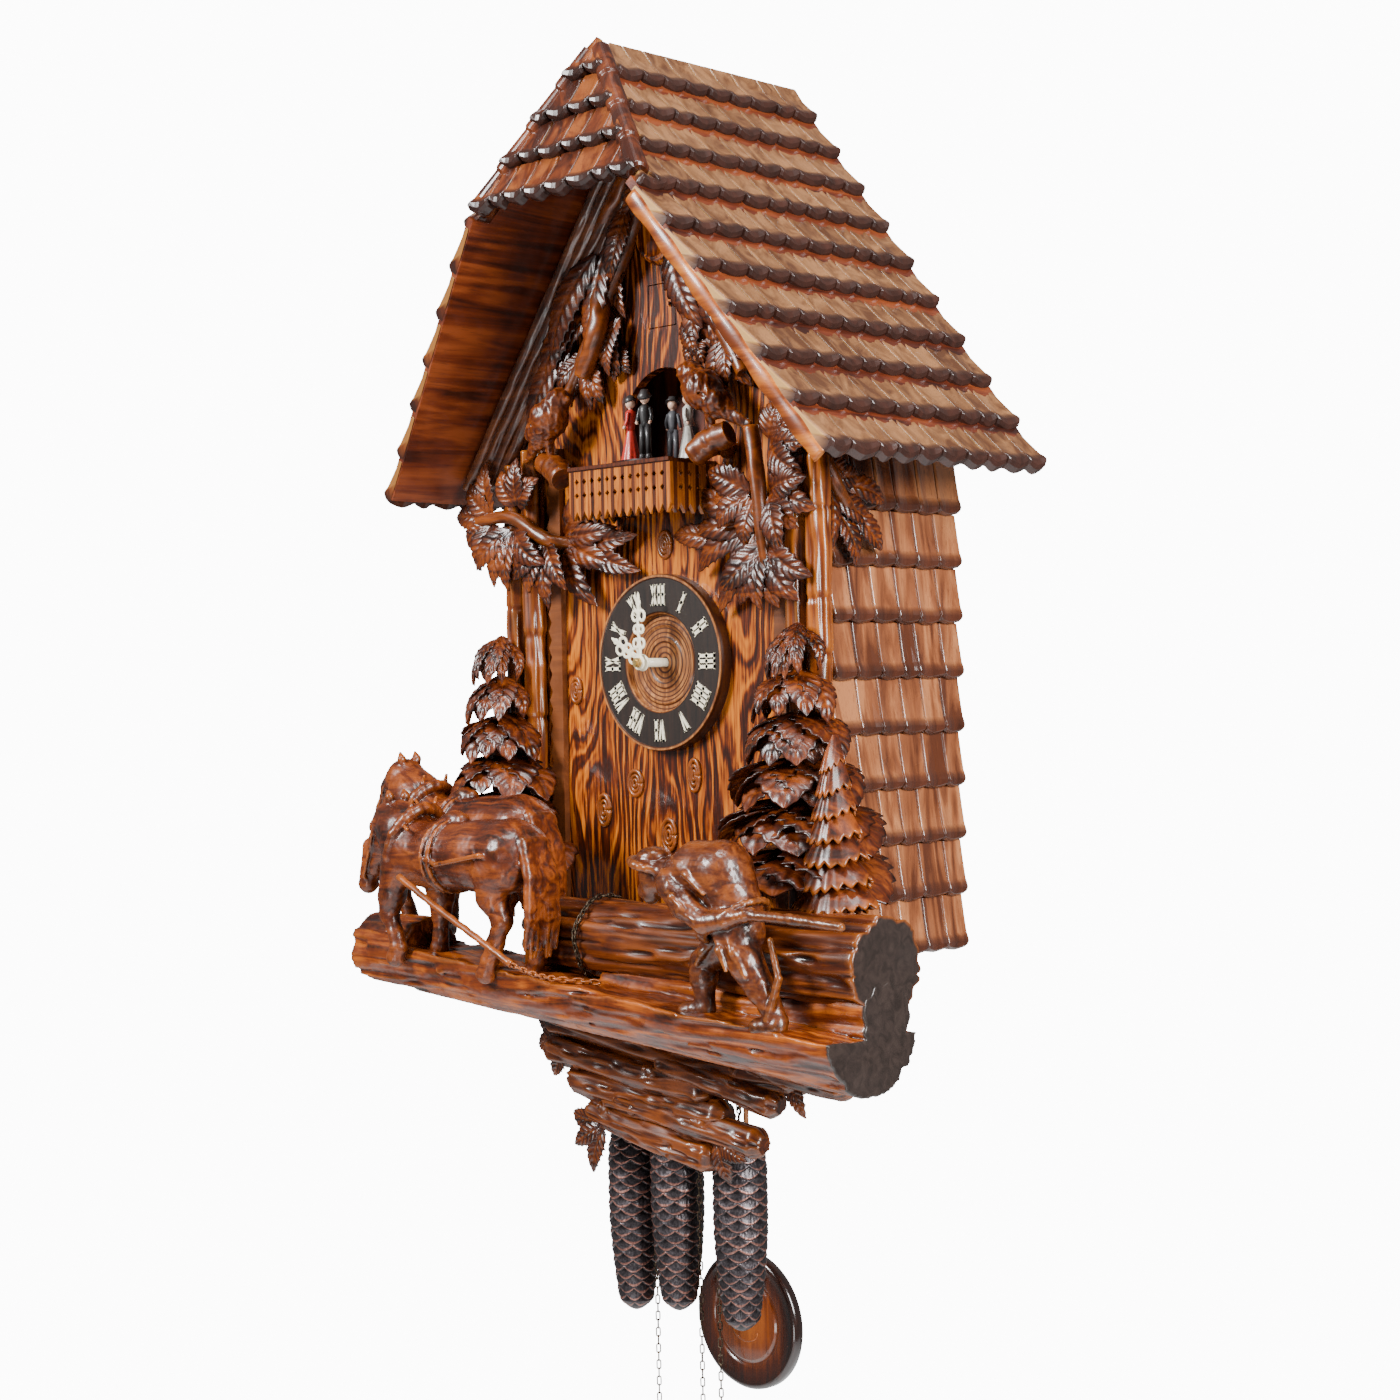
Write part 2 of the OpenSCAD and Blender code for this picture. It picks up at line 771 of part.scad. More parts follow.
module song_bird(s) {
  limb([s * 96, -214, -172], [s * 112, -210, -186], 17, 15);
  limb([s * 96, -214, -172], [s * 78, -216, -162], 13, 10);
  limb([s * 70, -217, -164], [s * 62, -218, -167], 3, 1);
  limb([s * 112, -210, -186], [s * 138, -204, -204], 9, 3);
  limb([s * 94, -206, -230], [s * 100, -208, -198], 6, 4);
  limb([s * 78, -206, -244], [s * 116, -200, -222], 12, 12);
  limb([s * 98, -196, -234], [s * 98, -183, -234], 8, 8);
}

module song_birds() {
  color("#6a2f14") difference() {
    for (s = [-1, 1]) song_bird(s);
    panel_space();
  }
}

module pine_2d(x, z0, z1, w, tiers) {
  h = (z1 - z0) / tiers;
  for (i = [0:tiers - 1]) let (b = z0 + i * h, hwid = w / 2 * (1 - i / (tiers + 0.4)), m = 7)
    polygon([[x, min(z1, b + h * 1.55)], for (k = [0:m])
      [x + hwid - 2 * hwid * k / m, b - (k % 2 == 0 ? 0 : 7) + (k == 0 || k == m ? 4 : 0)]]);
}

module pine_left() {
  color("#6d3115") {
    plate_y(-226, 20) pine_2d(-190, -590, -374, 140, 6);
    plate_y(-222, 12) translate([-198, -640]) square([16, 60]);
    plate_y(-206, 4) translate([-202, -600]) square([48, 200]);
  }
}

module pine_right() {
  color("#6d3115") {
    plate_y(-226, 20) pine_2d(188, -590, -374, 160, 6);
    plate_y(-258, 32) pine_2d(243, -590, -462, 82, 5);
    plate_y(-206, 4) translate([154, -600]) square([48, 200]);
    plate_y(-222, 12) translate([180, -640]) square([16, 60]);
  }
}

module base_round(extra) {
  hull() {
    translate([-292 - extra, -285, -659]) rotate([0, 90, 0]) cylinder(r = 29 + extra, h = 2, $fn = 40);
    translate([316 + extra, -280, -681]) rotate([0, 90, 0]) cylinder(r = 50 + extra, h = 2, $fn = 40);
  }
}

// Everything above the carved ground, dz away from it
module above_ground(dz) {
  rotate([0, ground_tilt, 0]) box([-169, -365, ground_z + dz], [385, -200, ground_z + 120]);
}

module below_ground() {
  rotate([0, ground_tilt, 0]) box([-380, -365, ground_z - 120], [380, -200, ground_z]);
}

module log_base() {
  color("#8f4718") {
    difference() {
      base_round(0);
      above_ground(0);
    }
    box([-165, -250, -696], [165, yf, -684]);
    box([-165, yf - 10, -696], [165, yf, -645]);
  }
}

module hauled_log() {
  color("#9a5220") difference() {
    union() {
      translate([-40, -262, -636]) rotate([0, 90, 0]) cylinder(r1 = 31, r2 = 37, h = 356, $fn = 48);
      translate([-62, -262, -638]) rotate([0, 90, 0]) cylinder(r = 29, h = 8, $fn = 48);
      box([-74, -276, -690], [-38, -250, -650]);
    }
    box([-90, -226, -700], [330, -100, -560]);
    below_ground();
  }
}

// Draft horse facing -X with its chest at the origin and its hooves at z = -92
module horse_body() {
  limb([8, 0, 0], [118, 0, 4], 27, 29);
  limb([118, 0, 4], [134, 0, -4], 28, 24);
  limb([10, 0, 10], [-22, 0, 48], 22, 14);
  limb([-22, 0, 48], [-50, 0, 12], 13, 8);
  limb([-22, 4, 54], [-18, 4, 66], 4, 1.5);
  limb([146, 0, 8], [160, 0, -44], 8, 13);
  limb([160, 0, -44], [158, 0, -66], 12, 6);
  for (s = [-1, 1]) {
    limb([8 + s * 12, s * 11, -16], [6 + s * 20, s * 11, -52], 12, 7);
    limb([6 + s * 20, s * 11, -52], [16 + s * 10, s * 11, -84], 6, 8);
    limb([124 + s * 8, s * 11, -14], [132 + s * 12, s * 11, -52], 14, 7);
    limb([132 + s * 12, s * 11, -52], [118 + s * 14, s * 11, -84], 6, 8);
  }
}

module horse_near() {
  color("#6a2c12") difference() {
    translate([-204, -313, -566]) horse_body();
    below_ground();
  }
}

module horse_far() {
  color("#6a2c12") difference() {
    translate([-262, -256, -560]) horse_body();
    below_ground();
    base_round(0.1);
  }
}

module harness() {
  color("#5a2610") {
    limb([-176, -346, -585], [-24, -346, -652], 3, 3);
    limb([-24, -346, -652], [10, -322, -664], 2.5, 2.5);
    limb([10, -322, -664], [40, -306, -666], 2.5, 2.5);
  }
}

module logger() {
  color("#7a4020") difference() {
    union() {
      limb([122, -318, -560], [122, -318, -554], 10, 9);
      limb([122, -318, -552], [122, -318, -546], 14, 8);
      limb([150, -316, -572], [196, -316, -566], 15, 20);
      limb([196, -316, -570], [214, -316, -600], 19, 16);
      limb([206, -310, -606], [166, -308, -634], 12, 8);
      limb([166, -308, -634], [168, -308, -674], 8, 6);
      limb([168, -312, -677], [154, -316, -679], 6, 5);
      limb([214, -318, -606], [232, -318, -645], 12, 8);
      limb([232, -318, -645], [254, -318, -676], 8, 6);
      limb([254, -320, -678], [238, -322, -680], 6, 5);
      limb([160, -334, -576], [196, -338, -606], 7, 6);
      limb([196, -338, -606], [236, -332, -596], 6, 6);
      limb([236, -330, -595], [326, -326, -601], 4.5, 3.5);
    }
    below_ground();
  }
}

module branch_pile() {
  color("#5f2810") difference() {
    union() {
      limb([-146, -196, -750], [60, -196, -768], 14, 15);
      limb([-116, -198, -776], [76, -198, -790], 14, 15);
      limb([-92, -196, -802], [60, -194, -826], 13, 15);
      limb([-70, -196, -790], [120, -198, -808], 12, 14);
      limb([0, -196, -748], [140, -198, -772], 14, 13);
      limb([-150, -196, -722], [172, -196, -748], 15, 14);
      limb([60, -196, -724], [216, -198, -748], 13, 11);
      limb([-170, -196, -704], [250, -196, -718], 14, 12);
    }
    box([-300, yf - 0.5, -900], [300, 0, -600]);
    base_round(0.1);
    box([-165, -252, -696], [165, -100, -600]);
    box([-300, yf - 22, -660], [300, 0, -600]);
  }
}

back_frame();
back_door();
side_wall_left();
side_wall_right();
wall_shingles();
front_panel();
bottom_board();
roof_boards();
roof_shingles_left();
roof_shingles_right();
hip_shingles();
gable_beams();
trunk_posts();
corner_ripples();
balcony_floor();
balcony_rail();
niche_box();
dial_ring();
dial_numerals();
foliage_left();
foliage_right();
foliage_top();
song_birds();
pine_left();
pine_right();
log_base();
hauled_log();
horse_near();
horse_far();
harness();
logger();
branch_pile();
movement_plates();
bellows_bodies();
bellows_lid_left();
bellows_lid_right();
gong();
gong_hammer();
music_works();
music_cylinder();
carousel();
dancers();
cuckoo_bird();
cuckoo_door();
minute_hand();
center_arbor();
hour_hand();
wheel_left();
wheel_mid();
wheel_right();
weight_left();
weight_mid();
weight_right();
tail_left();
tail_mid();
tail_right();
anchor();
pendulum_rod();
pendulum_bob();
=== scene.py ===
"""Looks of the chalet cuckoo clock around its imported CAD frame, worked out in millimetres."""
import math

import bpy
import numpy as np
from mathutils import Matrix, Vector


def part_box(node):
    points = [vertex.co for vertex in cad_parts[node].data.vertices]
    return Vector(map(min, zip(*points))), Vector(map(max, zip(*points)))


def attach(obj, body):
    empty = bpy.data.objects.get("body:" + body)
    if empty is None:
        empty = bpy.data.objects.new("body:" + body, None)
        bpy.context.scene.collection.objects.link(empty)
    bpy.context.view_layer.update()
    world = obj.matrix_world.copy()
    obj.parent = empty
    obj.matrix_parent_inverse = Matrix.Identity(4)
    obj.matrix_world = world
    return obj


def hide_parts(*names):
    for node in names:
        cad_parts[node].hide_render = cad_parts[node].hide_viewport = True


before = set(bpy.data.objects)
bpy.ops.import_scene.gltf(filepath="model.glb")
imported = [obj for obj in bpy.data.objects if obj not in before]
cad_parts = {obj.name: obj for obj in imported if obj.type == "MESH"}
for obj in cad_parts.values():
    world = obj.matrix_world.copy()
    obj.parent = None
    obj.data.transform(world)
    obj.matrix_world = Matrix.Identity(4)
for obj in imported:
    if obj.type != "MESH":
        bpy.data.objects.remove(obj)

import openvdb

MM = 0.001
TURN = 2 * math.pi
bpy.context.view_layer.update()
RNG = np.random.default_rng(11)


def box_mm(node):
    """Lowest and highest corner of a CAD node, in millimetres."""
    lo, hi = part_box(node)
    return np.array(lo) * 1000.0, np.array(hi) * 1000.0


DIAL_LO, DIAL_HI = box_mm("dial_ring")
DIAL_X = (DIAL_LO[0] + DIAL_HI[0]) / 2
DIAL_Z = (DIAL_LO[2] + DIAL_HI[2]) / 2
DIAL_R = (DIAL_HI[0] - DIAL_LO[0]) / 2
PANEL_Y = box_mm("front_panel")[0][1]
HOOK_Z = DIAL_Z + 400.0

# ---- camera, floor and light ----

CAMERA_AZIMUTH = math.radians(45.1)
CAMERA_DISTANCE = 2017.0
CAMERA_SIDE = 27.5
CAMERA_DROP = 25.6
CAMERA_ROLL = 0.018
FRAME_PIXELS = 1400.0
FOCAL_PIXELS = 2289.0
SHIFT_PIXELS = -9.0


def build_camera():
    """Level camera looking at the front panel from the photograph's side."""
    sin_a, cos_a = math.sin(CAMERA_AZIMUTH), math.cos(CAMERA_AZIMUTH)
    data = bpy.data.cameras.new("camera")
    data.sensor_width = 36.0
    data.lens = data.sensor_width * FOCAL_PIXELS / FRAME_PIXELS
    data.shift_y = SHIFT_PIXELS / FRAME_PIXELS
    data.clip_end = 50
    camera = bpy.data.objects.new("camera", data)
    bpy.context.scene.collection.objects.link(camera)
    x = sin_a * CAMERA_DISTANCE + cos_a * CAMERA_SIDE
    y = PANEL_Y - cos_a * CAMERA_DISTANCE + sin_a * CAMERA_SIDE
    camera.location = (x * MM, y * MM, (DIAL_Z - CAMERA_DROP) * MM)
    camera.rotation_euler = (math.pi / 2, CAMERA_ROLL, CAMERA_AZIMUTH)
    bpy.context.scene.camera = camera


def area_light(name, place, size, power):
    """Soft light aimed at the middle of the clock; metres and watts."""
    data = bpy.data.lights.new(name, "AREA")
    data.shape = "RECTANGLE"
    data.size, data.size_y = size
    data.energy = power
    light = bpy.data.objects.new(name, data)
    bpy.context.scene.collection.objects.link(light)
    light.location = place
    way = np.array((0, -0.15, -0.45)) - place
    yaw = math.atan2(way[1], way[0])
    pitch = math.atan2(way[2], math.hypot(way[0], way[1]))
    light.rotation_euler = (math.pi / 2 + pitch, 0, yaw - math.pi / 2)


def build_studio():
    """Pale floor under the hanging clock, white backdrop and soft lights."""
    world = bpy.data.worlds.new("studio")
    bpy.context.scene.world = world
    world.use_nodes = True
    tree = world.node_tree
    chooser = tree.nodes.new("ShaderNodeMixShader")
    rays = tree.nodes.new("ShaderNodeLightPath")
    tree.links.new(rays.outputs["Is Camera Ray"], chooser.inputs[0])
    for socket, strength in ((1, 0.24), (2, 12.0)):
        background = tree.nodes.new("ShaderNodeBackground")
        background.inputs[0].default_value = (1, 1, 1, 1)
        background.inputs[1].default_value = strength
        tree.links.new(background.outputs[0], chooser.inputs[socket])
    tree.links.new(chooser.outputs[0], tree.nodes["World Output"].inputs[0])
    bpy.ops.mesh.primitive_plane_add(size=6, location=(0, 0, -2.6))
    floor = bpy.context.object
    floor.name = "floor"
    floor_paint = bpy.data.materials.new("floor_paint")
    floor_paint.use_nodes = True
    shader = floor_paint.node_tree.nodes["Principled BSDF"]
    shader.inputs["Base Color"].default_value = (0.93, 0.93, 0.93, 1)
    shader.inputs["Roughness"].default_value = 0.8
    floor.data.materials.append(floor_paint)
    area_light("key", (-0.9, -2.6, 0.9), (0.7, 1.1), 215)
    area_light("side", (2.7, -0.7, 0.4), (0.8, 1.6), 235)
    area_light("top", (0.6, -0.9, 2.2), (1.1, 0.8), 85)
    area_light("low", (0.9, -2.4, -1.7), (1.0, 0.6), 18)


# ---- materials ----

class Value:
    """Output of a material's node; arithmetic on it adds nodes to the same material."""

    def __init__(self, graph, socket):
        self.graph, self.socket = graph, socket

    def math(self, kind, *others):
        made = self.graph.node("ShaderNodeMath", operation=kind)
        for value, socket in zip((self, *others), made.inputs):
            self.graph.link(value, socket)
        return Value(self.graph, made.outputs[0])

    def __add__(self, other):
        return self.math("ADD", other)

    def __sub__(self, other):
        return self.math("SUBTRACT", other)

    def __mul__(self, other):
        return self.math("MULTIPLY", other)


class Graph:
    """Short way to write a material's nodes."""

    def __init__(self, name):
        self.material = bpy.data.materials.new(name)
        self.material.use_nodes = True
        self.tree = self.material.node_tree
        self.shader = self.tree.nodes["Principled BSDF"].inputs
        self.place = self.output("ShaderNodeTexCoord", "Object")

    def node(self, kind, **values):
        made = self.tree.nodes.new(kind)
        for key, value in values.items():
            setattr(made, key, value)
        return made

    def output(self, kind, socket, **values):
        return Value(self, self.node(kind, **values).outputs[socket])

    def link(self, value, socket):
        if isinstance(value, Value):
            self.tree.links.new(value.socket, socket)
        elif socket.type == "RGBA":
            socket.default_value = (*value, 1)
        else:
            socket.default_value = value

    def split(self):
        made = self.node("ShaderNodeSeparateXYZ")
        self.link(self.place, made.inputs[0])
        return [Value(self, socket) for socket in made.outputs]

    def noise(self, scale, detail=4.0, twist=0.0):
        """Clouds; three numbers as scale stretch them."""
        place = self.place
        if isinstance(scale, (tuple, list)):
            mapping = self.node("ShaderNodeMapping")
            self.link(place, mapping.inputs["Vector"])
            mapping.inputs["Scale"].default_value = scale
            place, scale = Value(self, mapping.outputs[0]), 1.0
        made = self.node("ShaderNodeTexNoise")
        for name, value in (("Vector", place), ("Scale", scale), ("Detail", detail), ("Distortion", twist),
                            ("Roughness", 0.55)):
            self.link(value, made.inputs[name])
        return Value(self, made.outputs["Fac"])

    def ramp(self, value, *stops):
        made = self.node("ShaderNodeValToRGB")
        self.link(value, made.inputs[0])
        steps = made.color_ramp.elements
        while len(steps) < len(stops):
            steps.new(0.5)
        for step, (at, colour) in zip(steps, stops):
            step.position = at
            step.color = (*colour, 1)
        return Value(self, made.outputs[0])

    def fade(self, value, black_at, white_at):
        return self.ramp(value, (black_at, (0, 0, 0)), (white_at, (1, 1, 1)))

    def mix(self, amount, a, b):
        made = self.node("ShaderNodeMix", data_type="RGBA")
        for value, index in ((amount, 0), (a, 6), (b, 7)):
            self.link(value, made.inputs[index])
        return Value(self, made.outputs[2])

    def bump(self, height, strength, distance):
        made = self.node("ShaderNodeBump")
        made.inputs["Strength"].default_value = strength
        made.inputs["Distance"].default_value = distance
        self.link(height, made.inputs["Height"])
        self.tree.links.new(made.outputs[0], self.shader["Normal"])

    def finish(self, colour, rough, coat=0.0, metallic=0.0):
        for name, value in (("Base Color", colour), ("Roughness", rough), ("Coat Weight", coat),
                            ("Coat Roughness", 0.08), ("Metallic", metallic), ("Specular IOR Level", 0.34)):
            self.link(value, self.shader[name])
        return self.material


GRAIN = {"x": (5, 60, 60), "y": (60, 5, 60), "z": (60, 60, 5)}
PORES = {"x": (45, 800, 800), "y": (800, 45, 800), "z": (800, 800, 45)}


def wood(name, dark, mid, light, along="z", size=1.0, rough=0.3, coat=0.5, rub=None, tint=0.0, marked=None,
         grooved=None):
    """Stained wood with streaks, patches and pores. rub is the colour of worn edges; giving it also darkens
    the hollows as painted shade. tint is the spread between loose pieces, marked the colour where a mesh's
    mark is 1 and grooved where it is -1."""
    g = Graph(name)
    streaks = g.noise([v * size for v in GRAIN[along]], 5.0, 1.4)
    patches = g.noise(16 * size, 2.0, 0.3)
    pores = g.noise(PORES[along], 2.0)
    value = streaks * 0.66 + patches * 0.34
    if tint:
        value = value + (g.output("ShaderNodeNewGeometry", "Random Per Island") - 0.5) * tint
    colour = g.ramp(value, (0.39, dark), (0.5, mid), (0.61, light))
    colour = g.mix(pores.math("GREATER_THAN", 0.62) * 0.35, colour, dark)
    if rub:
        edge = g.output("ShaderNodeNewGeometry", "Pointiness")
        # Painted shade: where the surface is hollow, the colour drops towards a quarter of the dark stain.
        hollow_shade = g.ramp(edge, (0.42, (1, 1, 1)), (0.495, (0, 0, 0)))
        colour = g.mix(g.fade(edge, 0.505, 0.57) * 0.42, colour, rub)
        colour = g.mix(hollow_shade * 0.75, colour, [v * 0.25 for v in dark])
    if marked:
        mark = g.output("ShaderNodeAttribute", "Fac", attribute_name="mark")
        shade = g.ramp(streaks, (0.35, [v * 0.5 for v in marked]), (0.65, marked))
        colour = g.mix(mark.math("MAXIMUM", 0.0), colour, shade)
        if grooved:
            colour = g.mix((mark * -1.0).math("MAXIMUM", 0.0), colour, grooved)
    g.bump(streaks + pores * 0.35, 0.25, 0.0006)
    return g.finish(colour, (patches - 0.5) * 0.25 + rough, coat)


def zebra(name, knots):
    """Burnt softwood veneer: dark ragged flames on orange that bend round the carved knots."""
    g = Graph(name)
    across, _, height = g.split()
    wander = g.noise((7, 7, 2.6), 2.0, 0.4) - 0.5
    ripple = g.noise((34, 34, 11), 2.0, 0.6) - 0.5
    bent = across + wander * 0.20 + ripple * 0.022
    for knot_x, knot_z in knots:
        dx = across - knot_x * MM
        dz = (height - knot_z * MM) * 0.5
        near = ((dx * dx + dz * dz) * -1600.0).math("EXPONENT")
        bent = bent - dx * near * 0.8
    ragged = g.noise((420, 420, 26), 4.0, 0.6)
    broad = g.noise((11, 11, 5), 2.0, 0.5) - 0.5
    flames = (bent * 520.0).math("SINE") * 0.15 + (bent * 1300.0).math("SINE") * 0.07
    colour = g.ramp(flames + ragged + broad * 0.75, (0.30, (0.020, 0.0035, 0.001)),
                    (0.44, (0.085, 0.013, 0.0015)), (0.55, (0.26, 0.055, 0.003)),
                    (0.74, (0.46, 0.130, 0.007)))
    g.bump(ragged, 0.3, 0.0006)
    return g.finish(colour, 0.3, 0.4)


def metal(name, dark, light, rough, grain=300.0):
    """Brushed or cast metal with a fine cloud in it."""
    g = Graph(name)
    cloud = g.noise(grain)
    g.bump(cloud, 0.15, 0.0003)
    return g.finish(g.ramp(cloud, (0.35, dark), (0.65, light)), cloud * 0.15 + rough, 0.0, 1.0)


def paint(name, colour, rough=0.45):
    """Plain paint with a slight cloud in it."""
    g = Graph(name)
    cloud = g.noise(400.0, 3.0)
    g.bump(cloud, 0.1, 0.0003)
    return g.finish(g.ramp(cloud, (0.3, [v * 0.72 for v in colour]), (0.7, colour)), rough, 0.2)


def cone_iron():
    """Dark cast iron with copper rubbed onto the lips of the scales, and painted shade, nearly black, in the
    creases between them.
    """
    g = Graph("cone_iron")
    mark = g.output("ShaderNodeAttribute", "Fac", attribute_name="mark")
    cloud = g.noise(500.0)
    iron = g.ramp(cloud, (0.3, (0.014, 0.012, 0.014)), (0.7, (0.066, 0.056, 0.060)))
    copper = g.ramp(cloud, (0.3, (0.10, 0.042, 0.032)), (0.7, (0.30, 0.14, 0.11)))
    body = g.mix(g.fade(mark + g.noise(60.0, 2.0) * 0.4, 0.90, 1.0), iron, copper)
    g.bump(cloud, 0.3, 0.0004)
    # Painted shade: where the mark is low, in the creases between scales, the colour goes nearly black.
    return g.finish(g.mix(g.fade(mark, 0.20, 0.46), (0.006, 0.004, 0.004), body), 0.40, 0.1, 0.8)


def dial_finish():
    """Black-brown numeral ring between a brown turned centre and a brown rim."""
    g = Graph("dial_finish")
    across, _, height = g.split()
    dx, dz = across - DIAL_X * MM, height - DIAL_Z * MM
    radius = (dx * dx + dz * dz).math("SQRT")
    grain = g.noise((300, 300, 30), 4.0, 0.5)
    brown = g.ramp(grain, (0.3, (0.09, 0.026, 0.008)), (0.5, (0.22, 0.075, 0.018)),
                   (0.7, (0.36, 0.145, 0.04)))
    black = g.ramp(grain, (0.3, (0.006, 0.004, 0.003)), (0.7, (0.018, 0.009, 0.006)))
    rings = (radius.math("POWER", 1.3) * 3700.0).math("SINE")
    brown = g.mix(g.fade(rings, 0.2, 0.8), brown, (0.040, 0.010, 0.003))
    inner = radius.math("LESS_THAN", (DIAL_R - 33.5) * MM)
    outer = radius.math("GREATER_THAN", (DIAL_R - 3.6) * MM)
    g.bump(grain, 0.15, 0.0004)
    return g.finish(g.mix(inner + outer, black, brown), 0.4, 0.15)


def sunburst():
    """Pendulum disc stain: orange middle, almost black rim."""
    g = Graph("bob_sunburst")
    lo, hi = box_mm("pendulum_bob")
    far = g.node("ShaderNodeVectorMath", operation="DISTANCE")
    g.link(g.place, far.inputs[0])
    g.link((lo + hi) / 2 * MM, far.inputs[1])
    share = Value(g, far.outputs["Value"]).math("DIVIDE", (hi[0] - lo[0]) / 2 * MM)
    grain = g.noise((260, 260, 14), 5.0, 0.8)
    wide = g.noise((50, 50, 5), 3.0, 0.8)
    colour = g.ramp(share + (grain + wide - 1.0) * 0.55, (0.1, (0.24, 0.058, 0.004)),
                    (0.42, (0.11, 0.022, 0.002)), (0.70, (0.030, 0.006, 0.002)),
                    (0.95, (0.010, 0.004, 0.003)))
    g.bump(grain, 0.15, 0.0004)
    return g.finish(colour, 0.22, 0.8)


def rail_boards():
    """Orange and dark boards side by side along the balcony front, under a dark top rail."""
    g = Graph("rail_boards")
    x, y, height = g.split()
    board = ((x + y) * (TURN / (13 * MM))).math("SINE")
    board = board.math("MAXIMUM", height.math("GREATER_THAN", (box_mm("balcony_rail")[1][2] - 4) * MM))
    grain = g.noise((420, 420, 24), 4.0, 0.6)
    orange = g.ramp(grain, (0.35, (0.17, 0.036, 0.003)), (0.65, (0.42, 0.125, 0.013)))
    brown = g.ramp(grain, (0.35, (0.022, 0.005, 0.002)), (0.65, (0.085, 0.018, 0.005)))
    g.bump(grain, 0.2, 0.0005)
    return g.finish(g.mix(g.fade(board, 0.46, 0.54), orange, brown), 0.28, 0.4)


# ---- mesh tools, all in millimetres ----

def angles(count):
    """Angles once round, without the last one that would repeat the first."""
    return np.linspace(0, TURN, count, endpoint=False)


def grid_faces(rows, columns, wrap=False):
    """Quads of a grid of points, rows by columns; wrap joins the last column to the first."""
    r, c = np.meshgrid(np.arange(rows - 1), np.arange(columns if wrap else columns - 1), indexing="ij")
    right = (c + 1) % columns
    quads = [r * columns + c, r * columns + right, (r + 1) * columns + right, (r + 1) * columns + c]
    return np.stack(quads, -1).reshape(-1, 4)


def soften(piece, width, angle):
    """Narrow bevel on the edges that are sharper than angle."""
    edge = piece.modifiers.new("edge", "BEVEL")
    edge.width = width * MM
    edge.segments = 2
    edge.limit_method = "ANGLE"
    edge.angle_limit = math.radians(angle)


def dress(node, material, bevel=0.6):
    """Material and softened edges for a CAD node that stays as it is."""
    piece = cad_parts[node]
    piece.data.materials.clear()
    piece.data.materials.append(material)
    if bevel:
        soften(piece, bevel, 40)


class Bag:
    """Collects mesh pieces, then makes one object of them."""

    def __init__(self):
        self.points, self.faces, self.marks, self.count = [], [], [], 0

    def add(self, points, faces, mark=0.0):
        """Adds points and faces; mark is a number from -1 to 1 that the material can read."""
        points = np.asarray(points, float).reshape(-1, 3)
        self.points.append(points)
        self.marks.append(np.broadcast_to(np.asarray(mark, float), len(points)))
        if isinstance(faces, np.ndarray):
            self.faces += (faces + self.count).tolist()
        else:
            self.faces += [[i + self.count for i in face] for face in faces]
        self.count += len(points)

    def make(self, name, material, body="case", stands_for=None, smooth=True, bevel=0.0):
        """Object that rides on a body and may stand for a CAD node."""
        mesh = bpy.data.meshes.new(name)
        mesh.from_pydata((np.concatenate(self.points) * MM).tolist(), [], self.faces)
        mesh.materials.append(material)
        layer = mesh.attributes.new("mark", "FLOAT", "POINT")
        layer.data.foreach_set("value", np.concatenate(self.marks).astype(np.float32))
        mesh.validate()
        piece = bpy.data.objects.new(name, mesh)
        bpy.context.scene.collection.objects.link(piece)
        mesh.polygons.foreach_set("use_smooth", [smooth] * len(mesh.polygons))
        if bevel:
            soften(piece, bevel, 35)
        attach(piece, body)
        if stands_for:
            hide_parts(stands_for)
        return piece

    def tube(self, path, radii, sides=12, flat=1.0, shape=None, end_mark=0.0):
        """Round bar along a path; shape(along, angle) changes its radius."""
        path = np.asarray(path, float)
        radii = np.broadcast_to(np.asarray(radii, float), (len(path),))
        way = np.gradient(path, axis=0)
        way /= np.linalg.norm(way, axis=1)[:, None]
        side = np.cross(way[0], (0, 1, 0.01))
        rings = []
        turn = angles(sides)
        for i, (point, forward) in enumerate(zip(path, way)):
            side = side - forward * side.dot(forward)
            side /= np.linalg.norm(side)
            up = np.cross(forward, side)
            bulge = shape(i / (len(path) - 1), turn) if shape else 1.0
            reach = (radii[i] * bulge * np.ones(sides))[:, None]
            rings.append(point + reach * (np.cos(turn)[:, None] * side + flat * np.sin(turn)[:, None] * up))
        closing = [path[k] + (rings[k] - path[k]) * 0.93 for k in (0, -1)]
        rings = [closing[0], *rings, closing[1]]
        points = np.concatenate([*rings, path[[0, -1]]])
        marks = np.zeros(len(points))
        marks[:sides] = marks[-sides - 2:] = end_mark
        faces = grid_faces(len(rings), sides, True).tolist()
        first, last, top = len(points) - 2, len(points) - 1, (len(rings) - 1) * sides
        faces += [[first, (k + 1) % sides, k] for k in range(sides)]
        faces += [[last, top + k, top + (k + 1) % sides] for k in range(sides)]
        self.add(points, faces, marks)

    def prism(self, outline, y0, y1):
        """Flat shape in X and Z, extruded from y0 to y1."""
        n = len(outline)
        points = [(x, y, z) for y in (y0, y1) for x, z in outline]
        faces = [list(range(n)), list(range(2 * n - 1, n - 1, -1))]
        faces += [[k, k + n, (k + 1) % n + n, (k + 1) % n] for k in range(n)]
        self.add(points, faces)


def smooth_path(points, count):
    """Points along a smooth curve through the given ones."""
    points = np.asarray(points, float)
    padded = np.vstack([2 * points[0] - points[1], points, 2 * points[-1] - points[-2]])
    made = []
    for at in np.linspace(0, len(points) - 1, count):
        k = min(int(at), len(points) - 2)
        t = at - k
        a, b, c, d = padded[k:k + 4]
        square, cube = 2 * a - 5 * b + 4 * c - d, 3 * b - a - 3 * c + d
        made.append(0.5 * (2 * b + (c - a) * t + square * t * t + cube * t ** 3))
    return np.array(made)


LATTICE = RNG.random((32, 32, 32)).astype(np.float32)


